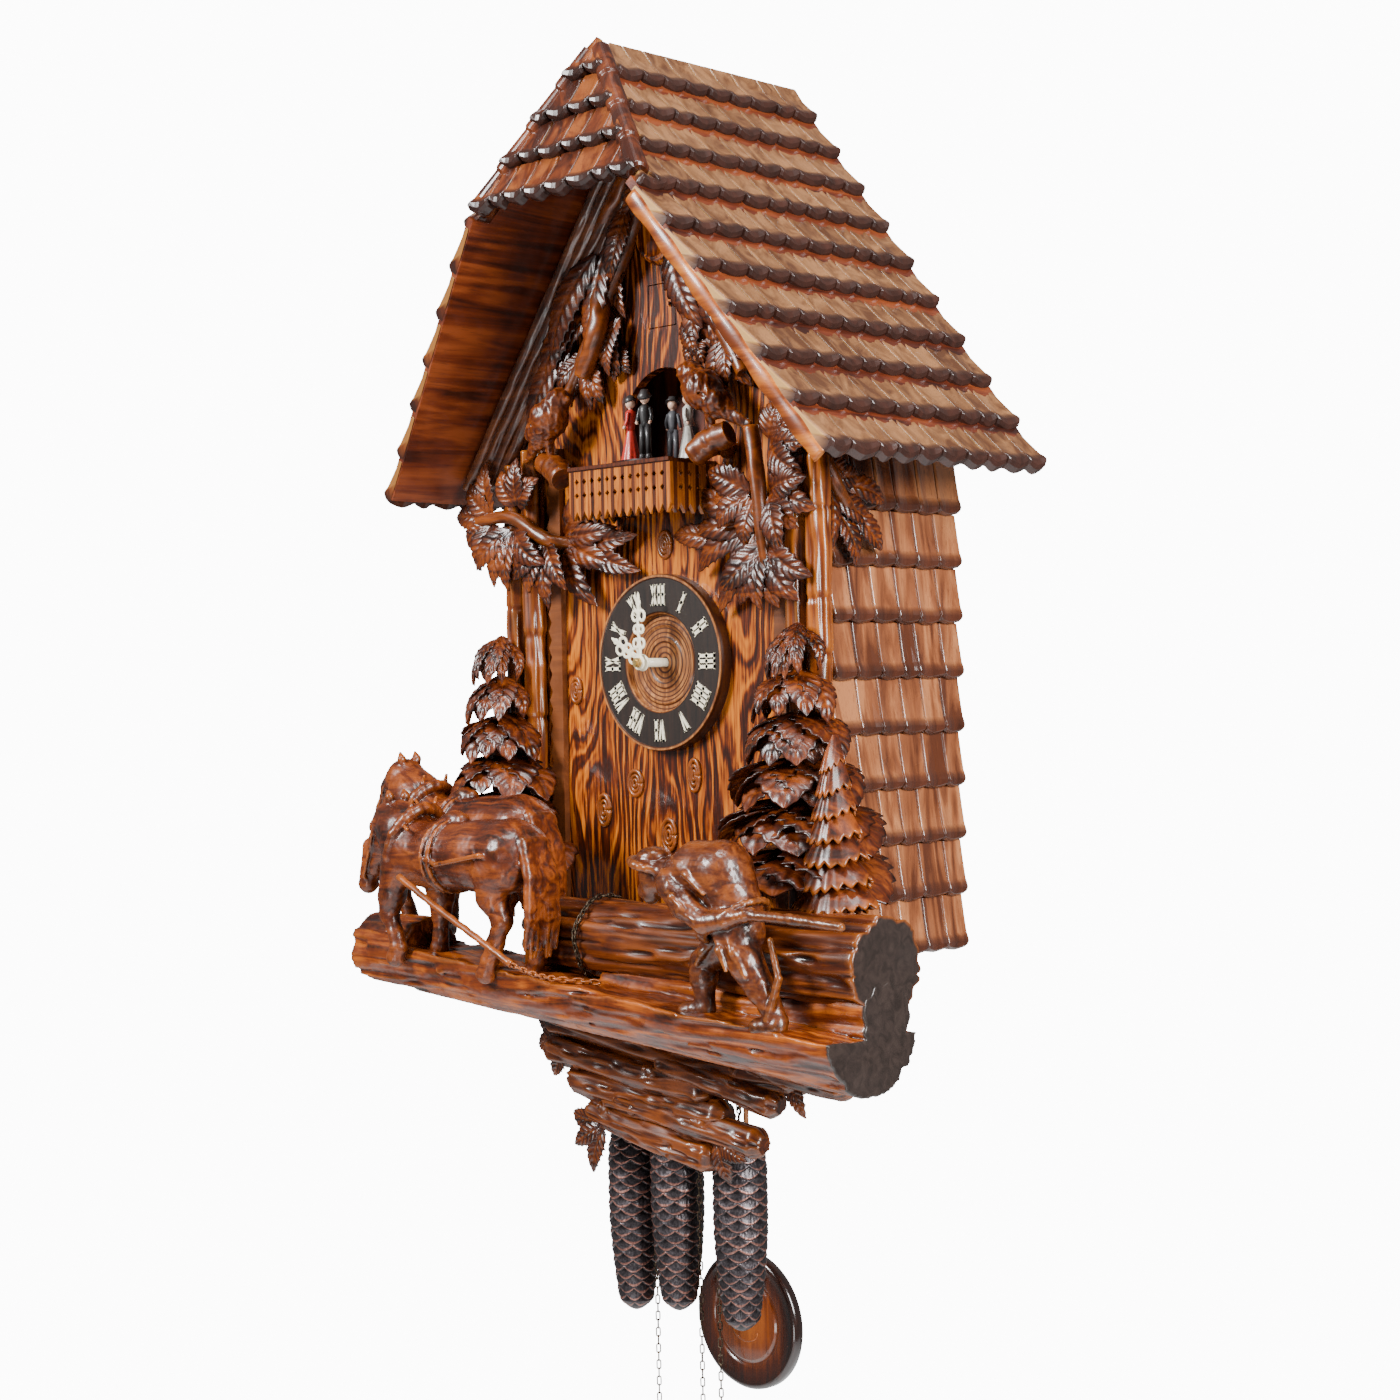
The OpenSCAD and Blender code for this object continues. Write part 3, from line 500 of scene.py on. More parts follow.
def noise3(points, size=1.0):
    """Smooth noise from 0 to 1 at the points, with lumps of about the given size or sizes."""
    q = np.asarray(points, np.float32) / size
    cell = np.floor(q).astype(int)
    t = q - cell
    t = t * t * (3 - 2 * t)
    total = 0
    for corner in range(8):
        step = np.array([corner & 1, corner >> 1 & 1, corner >> 2])
        at = (cell + step) & 31
        weight = np.prod(np.where(step, t, 1 - t), axis=-1)
        total = total + LATTICE[at[..., 0], at[..., 1], at[..., 2]] * weight
    return total


def ring_spots(turn, spread, level, seed=0.0):
    """Where to read the noise around a ring of bark, so that it closes on itself."""
    return np.stack([np.cos(turn) * spread + seed, np.sin(turn) * spread, np.full_like(turn, level)], -1)


def normals_of(points, faces):
    """Outward direction at every point of a mesh of quads."""
    face_normal = np.cross(points[faces[:, 2]] - points[faces[:, 0]],
                           points[faces[:, 3]] - points[faces[:, 1]])
    total = np.zeros_like(points)
    for k in range(4):
        np.add.at(total, faces[:, k], face_normal)
    return total / np.maximum(np.linalg.norm(total, axis=1), 1e-9)[:, None]


class Clay:
    """Solid modelled on a grid of distances, then turned into a mesh."""

    def __init__(self, lo, hi, voxel):
        self.voxel = voxel * 1.0
        self.lo = np.asarray(lo, float) - 3 * self.voxel
        shape = np.ceil((np.asarray(hi, float) + 3 * self.voxel - self.lo) / self.voxel).astype(int)
        self.field = np.full(shape, 99.0, np.float32)

    def grid(self, first=(0, 0, 0), last=None):
        """Points of the grid from one index to another."""
        last = self.field.shape if last is None else last
        axes = [self.lo[k] + self.voxel * np.arange(first[k], last[k]) for k in range(3)]
        return np.stack(np.meshgrid(*axes, indexing="ij"), -1).astype(np.float32)

    def trim(self, distance):
        """Keeps only what lies where distance is negative."""
        self.field = np.maximum(self.field, distance.astype(np.float32))

    def limb(self, points, radii, blend=4.0, cut=False, thin=(1, 1, 1)):
        """Chain of bars with round ends, merged into or cut from the rest; thin squeezes it along an axis."""
        radii = np.broadcast_to(np.asarray(radii, float), (len(points),))
        points = [np.asarray(point, float) for point in points]
        thin = np.asarray(thin, float)
        sign = -1 if cut else 1
        for a, b, ra, rb in zip(points, points[1:], radii, radii[1:]):
            margin = max(ra, rb) + blend + 2 * self.voxel
            low = ((np.minimum(a, b) - margin - self.lo) / self.voxel).astype(int)
            high = ((np.maximum(a, b) + margin - self.lo) / self.voxel).astype(int) + 2
            low, high = np.clip(low, 0, self.field.shape), np.clip(high, 0, self.field.shape)
            if (high <= low).any():
                continue
            window = tuple(slice(*span) for span in zip(low, high))
            q = (self.grid(low, high) - a) / thin
            along = (b - a) / thin
            t = np.clip(q @ along / max(along @ along, 1e-6), 0, 1)
            d = (np.linalg.norm(q - t[..., None] * along, axis=-1) - (ra + (rb - ra) * t)) * thin.min()
            old = self.field[window]
            h = np.clip(0.5 + 0.5 * sign * (old - d * sign) / blend, 0, 1)
            self.field[window] = old + (d * sign - old) * h - sign * blend * h * (1 - h)

    def bone(self, a, b, ra, rb=None, **how):
        """Single bar with round ends."""
        self.limb([a, b], [ra, ra if rb is None else rb], **how)

    def groove(self, points, width):
        self.limb(points, width, blend=0.8, cut=True)

    def mesh(self, rough=0.0, grain=(6, 6, 6), fine=0.0, fine_grain=(2, 2, 2)):
        """Points and faces, roughened along their normals by stretched noise."""
        grid = openvdb.FloatGrid(background=3 * self.voxel)
        grid.copyFromArray(np.clip(self.field, -3 * self.voxel, 3 * self.voxel))
        points, faces = grid.convertToQuads(isovalue=0.0)
        points = points.astype(float) * self.voxel + self.lo
        faces = faces.astype(int)
        normal = normals_of(points, faces)
        if ((points - points.mean(0)) * normal).sum() < 0:
            faces, normal = faces[:, ::-1], -normal
        if rough:
            points = points + normal * (rough * (noise3(points / np.array(grain)) - 0.5))[:, None]
        if fine:
            points = points + normal * (fine * (noise3(points / np.array(fine_grain) + 7) - 0.5))[:, None]
        return points, faces


# ---- roof and walls ----

SHINGLE_PROFILE = [(0.0, -9.5), (0.0, -6.0), (0.42, -2.6), (0.72, 0.2), (0.80, 2.0),
                   (0.88, 3.2), (0.955, 2.2), (1.0, -1.6), (1.0, -8.5), (0.5, -9.5)]
LIP_MARK = [0, 0, 0, 0, 0.75, 1, 1, 1, 1, 0]
SHINGLE_EDGE = ((0.0, -2.0), (0.9, -0.2), (2.6, 0.3))


def shingle(bag, place, top, bottom, start, length):
    """One hollowed shingle between the side edges given by top and bottom.

    place turns (down, across, out) into a point, and start and length run down the slope."""
    points, marks = [], []
    dip = RNG.uniform(2.0, 3.4)
    lean = RNG.uniform(-0.7, 0.7)
    for (down, out), mark in zip(SHINGLE_PROFILE, LIP_MARK):
        a = top[0] + (bottom[0] - top[0]) * down
        b = top[1] + (bottom[1] - top[1]) * down
        across = [a + 0.2 + inset for inset, _ in SHINGLE_EDGE] + [a + (b - a) * f for f in (0.32, 0.5, 0.68)]
        across += [b - 0.2 - inset for inset, _ in reversed(SHINGLE_EDGE)]
        heights = [rise for _, rise in SHINGLE_EDGE] + [-dip * 0.7 * down, -dip * down, -dip * 0.7 * down]
        heights += [rise for _, rise in reversed(SHINGLE_EDGE)]
        scallop = [-3.0, -1.4, 0.0, 1.5, 2.1, 1.5, 0.0, -1.4, -3.0] if down > 0.9 else [0] * 9
        for k, (at, rise, reach) in enumerate(zip(across, heights, scallop)):
            tilt = lean * (k - 4) / 4 * down
            points.append(place(start + down * length + reach, at, out + rise + tilt))
            marks.append(mark if mark > 0.5 else -0.85 if k in (0, 8) else mark)
    columns = 9
    count = len(SHINGLE_PROFILE)
    faces = grid_faces(count, columns).tolist()
    faces += [[c, (count - 1) * columns + c, (count - 1) * columns + c + 1, c + 1]
              for c in range(columns - 1)]
    faces.append([r * columns for r in range(count)])
    faces.append([r * columns + columns - 1 for r in reversed(range(count))])
    bag.add(points, faces, marks)


def cuts(lo, hi, pitch):
    """Uneven shingle edges from lo to hi."""
    count = max(1, round((hi - lo) / pitch))
    inner = np.linspace(lo, hi, count + 1)
    inner[1:-1] += RNG.uniform(-0.16, 0.16, count - 1) * pitch
    return inner


RIDGE_Z = box_mm("roof_shingles_left")[1][2]
SLOPE = math.radians(53.33)
EAVE_S = 473.8
HIP_S = 187.0
EDGE_LINE = ((0.0, -238.8), (HIP_S, -293.8), (HIP_S + 0.1, -313.0), (EAVE_S, -275.0))


def roof_front(s):
    """Front edge of the roof, s millimetres down the slope."""
    return float(np.interp(s, [p[0] for p in EDGE_LINE], [p[1] for p in EDGE_LINE]))


def build_roof(material, red_material, verge_material):
    """Ten courses of single shingles on each slope, and the front board of the right one."""
    courses = 10
    course = EAVE_S / courses
    for side, name in ((-1, "roof_shingles_left"), (1, "roof_shingles_right")):
        def place(s, y, n):
            x = s * math.cos(SLOPE) + n * math.sin(SLOPE)
            return (side * max(x, 0.05), y, RIDGE_Z - s * math.sin(SLOPE) + n * math.cos(SLOPE))
        bag = Bag()
        for i in range(courses):
            s0, s1 = i * course, (i + 1) * course
            reach = roof_front(s1 - 4) if s0 < HIP_S < s1 else roof_front(s1)
            edges = cuts(reach, 0.0, 27.5)
            for k in range(len(edges) - 1):
                first = roof_front(s0) if k == 0 and not s0 < HIP_S < s1 else edges[k]
                shingle(bag, place, (first, edges[k + 1]), (edges[k], edges[k + 1]), s0,
                        course - 0.4 + RNG.uniform(-1.5, 0.4))
        shingle(bag, place, (-292.0, -280.0), (-312.0, -280.0), HIP_S - 40, 44.0)
        bag.make(name + "_boards", red_material if side < 0 else material, "case", name, smooth=False,
                 bevel=0.5)
        if side > 0:
            verge = Bag()
            steps = np.linspace(HIP_S + 4, EAVE_S - 4, 90)
            line = np.array([place(s, roof_front(s) + 1.5, -15.5) for s in steps])
            verge.tube(line, 7.5 + 0.9 * np.sin(steps / course * TURN), 14, 0.4)
            verge.make("roof_verge", verge_material)


def build_hip(material):
    """Shingles and corner logs of the small hipped roof at the front."""
    bottom = -2.0
    courses = 4
    y_top, y_bottom = -258.0, -313.0
    length = math.hypot(RIDGE_Z - bottom, y_top - y_bottom)
    down_y, down_z = (y_bottom - y_top) / length, (bottom - RIDGE_Z) / length

    def place_hip(s, x, n):
        """n is measured outwards, towards the front and slightly up."""
        return (x, y_top + down_y * s + down_z * n, RIDGE_Z + down_z * s - down_y * n)

    def half(s):
        return (-down_z * s) / math.tan(SLOPE)

    bag = Bag()
    course = length / courses
    for i in range(courses):
        s0, s1 = i * course, (i + 1) * course
        edges = cuts(-half(s1), half(s1), 27.0)
        for k in range(len(edges) - 1):
            a, b = edges[k], edges[k + 1]
            top = (float(np.clip(a, -half(s0), half(s0))), float(np.clip(b, -half(s0), half(s0))))
            if top[1] - top[0] < 5:
                middle = float(np.clip((a + b) / 2, -half(s0), half(s0)))
                top = (middle - 2.6, middle + 2.6)
            shingle(bag, place_hip, top, (a, b), s0, course + RNG.uniform(-1.2, 0.8))
    for side in (-1, 1):
        corner = [(side * half(s), y_top + down_y * s + 8, RIDGE_Z + down_z * s - 6)
                  for s in np.linspace(8, length - 4, 60)]
        bag.tube(corner, 9.5, 24, 1.0, lambda along, turn: 0.84 + 0.22 * ((along * 4) % 1.0))
    bag.make("hip_boards", material, "case", "hip_shingles", smooth=False, bevel=0.5)


def build_wall_shingles(material):
    """Courses of single shingles on both side walls."""
    lo, hi = box_mm("wall_shingles")
    courses = 11
    step = (hi[2] - lo[2]) / courses
    bag = Bag()
    for side in (-1, 1):
        def place(s, y, n):
            return (side * (hi[0] + n * 0.85), y, hi[2] - s)
        for i in range(courses):
            edges = cuts(lo[1], hi[1], 28.3)
            for k in range(len(edges) - 1):
                shingle(bag, place, (edges[k], edges[k + 1]), (edges[k], edges[k + 1]), i * step,
                        step + RNG.uniform(-1.5, 0.0))
    bag.make("wall_boards", material, "case", "wall_shingles", smooth=False, bevel=0.5)


def build_gable_beams(material):
    """Grooved logs laid up the inside of each roof slope."""
    bag = Bag()
    for side in (-1, 1):
        for k in range(4):
            out, inset = -22.5 - 9 * k, 3.0 * k
            for y in (-201 + inset, -190 + inset * 0.4):
                ends = []
                for s in (50, 444 - 8 * k):
                    ends.append((side * (s * math.cos(SLOPE) + out * math.sin(SLOPE)), y,
                                 RIDGE_Z - s * math.sin(SLOPE) + out * math.cos(SLOPE)))
                log(bag, ends[0], ends[1], 6.6, 6.8, 7, 0.18, 28, 14.0)
    bag.make("gable_beam_logs", material, "case", "gable_beams")


def build_posts(material):
    """Peeled trunks with knots in front of the corners."""
    lo, hi = box_mm("trunk_posts")
    radius = 11.0
    rings = 150
    middle_y = (lo[1] + hi[1]) / 2
    bag = Bag()
    for x, top in ((-190, -212), (-166, -200), (166, -200), (190, -212)):
        height = np.linspace(lo[2], top, rings)
        path = np.stack([np.full(rings, float(x)), np.full(rings, middle_y), height], 1)

        def bark(along, turn, x=x, top=top):
            z = lo[2] + along * (top - lo[2])
            spot = ring_spots(turn, 3.2, z / 26, x)
            ring = abs((z + 14 * math.sin(z / 31 + x) + 9 * math.sin(z / 13 + 2 * x)) % 52.0 - 26.0)
            notch = 0.84 + 0.16 * min(1.0, ring / 2.4)
            return notch * (0.84 + 0.24 * noise3(spot) + 0.05 * np.cos(7 * turn + z / 40))
        bag.tube(path, radius, 40, 1.0, bark)
    bag.make("trunk_post_bark", material, "case", "trunk_posts")


# ---- dial and hands ----

def numeral_shapes(text):
    """Outlines of a Roman numeral around its own middle, 19 mm high."""
    height = 19.0
    widths = [4.7 if c == "I" else 8.8 for c in text]
    at = -sum(widths) / 2
    shapes = []

    def bar(x0, x1, w0, w1):
        shapes.append([(x0 - w0 / 2, -height / 2), (x0 + w0 / 2, -height / 2), (x1 + w1 / 2, height / 2),
                       (x1 - w1 / 2, height / 2)])

    def serif(x, z, w):
        lip = 1.5 if z > 0 else -1.5
        shapes.append([(x - w / 2, z), (x + w / 2, z), (x + w / 2 - 0.7, z - lip),
                       (x - w / 2 + 0.7, z - lip)])

    for c, w in zip(text, widths):
        x = at + w / 2
        if c == "I":
            bar(x, x, 3.0, 3.0)
            shapes.append([(x - 2.4, 0), (x, -2.0), (x + 2.4, 0), (x, 2.0)])
            serif(x, height / 2, 4.7)
            serif(x, -height / 2, 4.7)
        elif c == "V":
            bar(x, x - 2.6, 1.8, 3.2)
            bar(x, x + 2.6, 1.8, 1.7)
            serif(x - 2.5, height / 2, 3.8)
            serif(x + 2.5, height / 2, 2.8)
        else:
            bar(x + 2.6, x - 2.6, 3.2, 3.2)
            bar(x - 2.6, x + 2.6, 1.7, 1.7)
            for z in (height / 2, -height / 2):
                serif(x - 2.5, z, 3.2)
                serif(x + 2.5, z, 3.2)
        at += w
    return shapes


def build_numerals(material):
    """Twelve raised numerals that stand with their feet towards the centre."""
    lo, hi = box_mm("dial_numerals")
    reach = DIAL_R - 18.5
    bag = Bag()
    words = ["I", "II", "III", "IIII", "V", "VI", "VII", "VIII", "IX", "X", "XI", "XII"]
    for hour, word in enumerate(words, 1):
        turn = math.radians(30 * hour)
        for shape in numeral_shapes(word):
            outline = [(DIAL_X + x * math.cos(turn) + (z + reach) * math.sin(turn),
                        DIAL_Z + (z + reach) * math.cos(turn) - x * math.sin(turn)) for x, z in shape]
            if sum(a[0] * b[1] - b[0] * a[1] for a, b in zip(outline, outline[1:] + outline[:1])) < 0:
                outline.reverse()
            bag.prism(outline, lo[1] - 0.3, hi[1])
    bag.make("numerals", material, "case", "dial_numerals", smooth=False)


def build_hand(node, length, turn, material, body, wide):
    """Pierced serpentine hand cut from a thin sheet."""
    lo, hi = box_mm(node)
    y = lo[1] + (0.8 if body == "minute" else 1.8)
    centre = np.array([DIAL_X, y, DIAL_Z])
    swing = math.radians(turn)
    side = np.array([math.cos(swing), 0, math.sin(swing)])
    ahead = np.array([-math.sin(swing), 0, math.cos(swing)])
    span = length + 6
    clay = Clay(centre - (span, 3, span), centre + (span, 3, span), 0.62)

    def at(across, along):
        return centre + side * across + ahead * along

    def ring(across, along, r, wire):
        steps = [at(across + r * math.cos(t), along + r * math.sin(t) * 1.25)
                 for t in np.linspace(0, TURN, 17)]
        clay.limb(steps, wire, blend=0.8)

    hub = 6.4 if body == "minute" else 7.4
    clay.bone(at(0, -0.2), at(0, 0.2), hub, blend=0.5)
    stem = [at(1.9 * math.sin(t * 9.4) * (1 - t), hub * 0.6 + t * (length - hub))
            for t in np.linspace(0, 1, 26)]
    clay.limb(stem, list(np.linspace(1.7, 0.75, 26)), blend=0.8)
    for along, r in ((0.27, wide), (0.47, wide * 0.86), (0.66, wide * 1.15)):
        for s in (-1, 1):
            ring(s * r * 0.85, along * length, r * 0.72, 1.15)
    clay.limb([at(0, 0.74 * length), at(0, 0.84 * length), at(0, 0.99 * length)], [1.2, 2.6, 0.5], blend=1.0)
    flat = abs(np.arange(clay.field.shape[1]) * clay.voxel + clay.lo[1] - y) - 0.8
    clay.trim(flat[None, :, None])
    if body == "hour":
        p = clay.grid()
        clay.trim(3.2 - np.hypot(p[..., 0] - DIAL_X, p[..., 2] - DIAL_Z))
    bag = Bag()
    bag.add(*clay.mesh())
    if body == "hour":
        bag.tube([(DIAL_X, -212, DIAL_Z), (DIAL_X, -190, DIAL_Z), (DIAL_X, hi[1], DIAL_Z)], 4.0, 32)
    bag.make(node + "_carved", material, body, node)


# ---- hanging parts ----

def chain(bag, x, y, top, bottom):
    """Hanging oval links, each turned a quarter from the last."""
    pitch, wire = 7.4, 0.66
    reach, half = 4.75 - wire, 2.375 - wire
    turn = angles(22)
    straight = reach - half
    loop = np.stack([half * np.cos(turn), np.zeros(22), half * np.sin(turn)
                     + straight * np.sign(np.sin(turn))], 1)
    out = np.stack([np.cos(turn), np.zeros(22), np.sin(turn)], 1)
    round_turn = angles(8)
    skin = (loop[:, None, :] + wire * (np.cos(round_turn)[None, :, None] * out[:, None, :]
                                       + np.sin(round_turn)[None, :, None] * np.array([0, 1, 0])))
    skin = skin.reshape(-1, 3)
    faces = grid_faces(22, 8, True).tolist()
    faces += [[21 * 8 + k, 21 * 8 + (k + 1) % 8, (k + 1) % 8, k] for k in range(8)]
    faces = [face[::-1] for face in faces]
    count = int((top - bottom - 2 * reach) / pitch)
    for k in range(count + 1):
        z = bottom + reach + wire + k * pitch
        tip = math.radians(45 + (90 if k % 2 else 0) + RNG.uniform(-7, 7))
        c, s = math.cos(tip), math.sin(tip)
        bag.add(np.stack([x + skin[:, 0] * c - skin[:, 1] * s, y + skin[:, 0] * s + skin[:, 1] * c, z
                          + skin[:, 2]], 1),
                faces)


def build_weight(side, cone_material, chain_material):
    """Cone weight with overlapping scales, its hook and its chain."""
    node = "weight_" + side
    lo, hi = box_mm(node)
    x, y = (lo[0] + hi[0]) / 2, (lo[1] + hi[1]) / 2
    radius = (hi[0] - lo[0]) / 2
    length = 182.0
    rows, around, pitch = 340, 256, 6.9
    t = np.linspace(0, 1, rows)
    base = np.clip(t / 0.06, 0.02, 1) ** 0.5 * (0.60 + 0.40 * np.sin(np.clip(t / 0.6, 0, 1) * math.pi / 2))
    base *= np.where(t > 0.80, 1 - ((t - 0.80) / 0.20) ** 2 * 0.3, 1)
    turn = angles(around)
    tt, aa = np.meshgrid(t, turn, indexing="ij")
    down = (1 - tt) * length / pitch
    best = np.zeros_like(tt)
    covered = np.zeros(tt.shape, bool)
    for back in (2, 1, 0):
        scale_row = np.floor(down) - back
        local = down - scale_row
        u = ((aa / TURN * 7 + 0.5 * (scale_row % 2)) % 1.0 - 0.5) * 2
        lip = 0.95 + 0.75 * (1 - np.abs(u) ** 1.8)
        rise = 0.2 + 0.8 * np.clip(local / lip, 0, 1) ** 1.5
        height = rise * np.clip((lip - local) / 0.16, 0, 1) ** 0.5
        inside = (local < lip) & ~covered
        best = np.where(inside, height, best)
        covered |= inside
    reach = radius * base[:, None] * (0.89 + 0.11 * best)
    reach *= 1 + 0.014 * (noise3(np.stack([aa * 20, tt * 60, tt * 0], -1)) - 0.5)
    points = np.stack([x + reach * np.cos(aa), y + reach * np.sin(aa), lo[2] + tt * (length - 8)],
                      -1).reshape(-1, 3)
    faces = grid_faces(rows, around, True).tolist()
    faces.append(list(reversed(range(around))))
    faces.append([(rows - 1) * around + k for k in range(around)])
    bag = Bag()
    # The scale height also goes to the material as its mark: copper on the lips and painted shade in the
    # creases.
    bag.add(points, faces, best.reshape(-1))
    cap = smooth_path([(x, y, lo[2] + length - 10), (x, y, lo[2] + length - 3), (x, y, lo[2] + length)], 8)
    bag.tube(cap, np.linspace(radius * 0.6, 6, 8), 32)
    bag.make(node + "_cone", cone_material, node, node)
    links = Bag()
    top = lo[2] + length
    links.tube(smooth_path([(x, y, top - 4), (x, y, top + 6), (x + 2.2, y, top + 10), (x, y, top + 14),
                            (x - 2.2, y, top + 11)], 24), 1.1, 10)
    chain(links, x, y, hi[2], top + 8)
    links.make(node + "_chain", chain_material, node)


def build_tail(side, chain_material):
    """Free end of a chain, with its ring."""
    node = "tail_" + side
    lo, hi = box_mm(node)
    x, y = (lo[0] + hi[0]) / 2, (lo[1] + hi[1]) / 2
    bag = Bag()
    turn = np.linspace(0, TURN, 40)
    centre = lo[2] + 8.2
    bag.tube(np.stack([np.full(40, x), y + 7 * np.sin(turn), centre - 7 * np.cos(turn)], 1), 1.2, 12)
    chain(bag, x, y, hi[2], centre + 5.5)
    bag.make(node + "_links", chain_material, node, node)


def build_bob(material, carving):
    """Turned pendulum disc with a small carved fan on it."""
    lo, hi = box_mm("pendulum_bob")
    x, z = (lo[0] + hi[0]) / 2, (lo[2] + hi[2]) / 2
    radius = (hi[0] - lo[0]) / 2
    front, back = lo[1], hi[1]
    ring = [(0.0, 0.0), (0.30, 0.1), (0.56, 0.5), (0.585, 0.9), (0.60, 2.0), (0.62, 2.3), (0.64, 2.0),
            (0.655, 1.1),
            (0.69, 0.7), (0.80, 1.1), (0.86, 0.9), (0.90, 0.2), (0.94, 0.0), (0.975, 0.9), (0.995, 2.8),
            (1.0, 5.0)]
    outline = [(f * radius, front + d) for f, d in ring] + [(radius, back - 2), (radius - 2, back),
                                                            (0.0, back)]
    sides = 128
    turn = angles(sides)
    points = [(x + r * math.cos(a), y, z + r * math.sin(a)) for r, y in outline for a in turn]
    bag = Bag()
    bag.add(points, grid_faces(len(outline), sides, True))
    bag.make("bob_disc", material, "pendulum", "pendulum_bob")
    mark = Bag()
    for tip in np.linspace(-0.9, 0.9, 7):
        root = np.array([x, front + 0.6, z - 7])
        way = np.array([math.sin(tip), 0, math.cos(tip)])
        mark.tube([root + way * 2, root + way * 9, root + way * 17], [1.2, 2.7, 0.8], 10, 0.45)
    arc = [(x + 15 * math.cos(a), front + 0.4, z - 9 + 9 * math.sin(a))
           for a in np.linspace(math.pi, TURN, 16)]
    mark.tube(arc, 1.0, 10, 0.6)
    mark.make("bob_mark", carving, "pendulum")


# ---- carved leaves, birds and trees ----

def on_front(x, z, out=0.0):
    """Point in front of the panel, x and z measured from the wall hook."""
    return np.array([DIAL_X + x, PANEL_Y - out, HOOK_Z + z])


def leaf(bag, root, tip, width, lift=7.0, teeth=8, facing=(0, -1, 0), thick=2.2):
    """Carved leaf with a deep midrib, chevron veins and a toothed edge."""
    root, tip = np.asarray(root, float), np.asarray(tip, float)
    length = np.linalg.norm(tip - root)
    ahead = (tip - root) / length
    side = np.cross(ahead, facing)
    side /= np.linalg.norm(side)
    out = np.cross(side, ahead)
    u, v = np.meshgrid(np.linspace(0, 1, 60), np.linspace(-1, 1, 15), indexing="ij")
    half = width / 2 * np.sin(math.pi * np.clip(u, 0.004, 0.996) ** 0.74) ** 0.75
    edge = ((u * teeth - 1.5) % 1.0) ** 2
    half = half * (1 + 0.20 * (edge - 0.5) * np.abs(v) ** 3)
    vein = 0.5 + 0.5 * np.cos(TURN * (u * teeth - np.abs(v) * 1.5))
    height = 1.5 - 1.9 * np.exp(-(v / 0.13) ** 2) - 0.8 * np.abs(v) ** 3
    height -= 1.25 * vein ** 2 * (1 - np.exp(-(v / 0.16) ** 2))
    height *= np.clip(np.sin(math.pi * u) * 1.8, 0, 1)
    height += lift * np.sin(math.pi * u * 0.85) + RNG.uniform(-1, 1) * np.abs(v) ** 2 * 1.5
    sway = RNG.uniform(-0.08, 0.08) * length * np.sin(math.pi * u)
    points = (root + ahead * (u * length)[..., None] + side * (v * half + sway)[..., None]
              + out * height[..., None])
    top = points.reshape(-1, 3)
    under = (points - out * thick * (1 - 0.7 * np.abs(v[..., None]))).reshape(-1, 3)
    rows, columns = u.shape
    count = rows * columns
    faces = grid_faces(rows, columns)
    quads = faces[:, ::-1].tolist() + (faces + count).tolist()
    for r in range(rows - 1):
        for c, step in ((0, 1), (columns - 1, -1)):
            a, b = r * columns + c, (r + 1) * columns + c
            quads.append([a, b, b + count, a + count] if step < 0 else [b, a, a + count, b + count])
    bag.add(np.concatenate([top, under]), quads)


def twig(bag, points, radii, knobs=0.12):
    """Branch with bark rings and bumps."""
    path = smooth_path(points, 14 * len(points))
    size = np.interp(np.linspace(0, 1, len(path)), np.linspace(0, 1, len(radii)), radii)
    seed = RNG.uniform(0, 50)

    def bark(along, turn):
        spot = ring_spots(turn, 1.6, along * len(points) * 3, seed)
        return 1 - knobs + 2 * knobs * noise3(spot)
    bag.tube(path, size, 18, 1.0, bark)


def tuft(bag, x, z, out, count, turn0, turn1, length, width, lift=8.0):
    """Fan of leaves from one point, from angle turn0 to turn1 measured from +X towards +Z."""
    for turn in np.linspace(turn0, turn1, count):
        a = math.radians(turn + RNG.uniform(-6, 6))
        size = length * RNG.uniform(0.88, 1.12)
        root = on_front(x + 5 * math.cos(a), z + 5 * math.sin(a), out)
        tip = on_front(x + size * math.cos(a), z + size * math.sin(a), max(1.0, out + RNG.uniform(-7, 1)))
        leaf(bag, root, tip, width * RNG.uniform(0.9, 1.1), lift, 7)


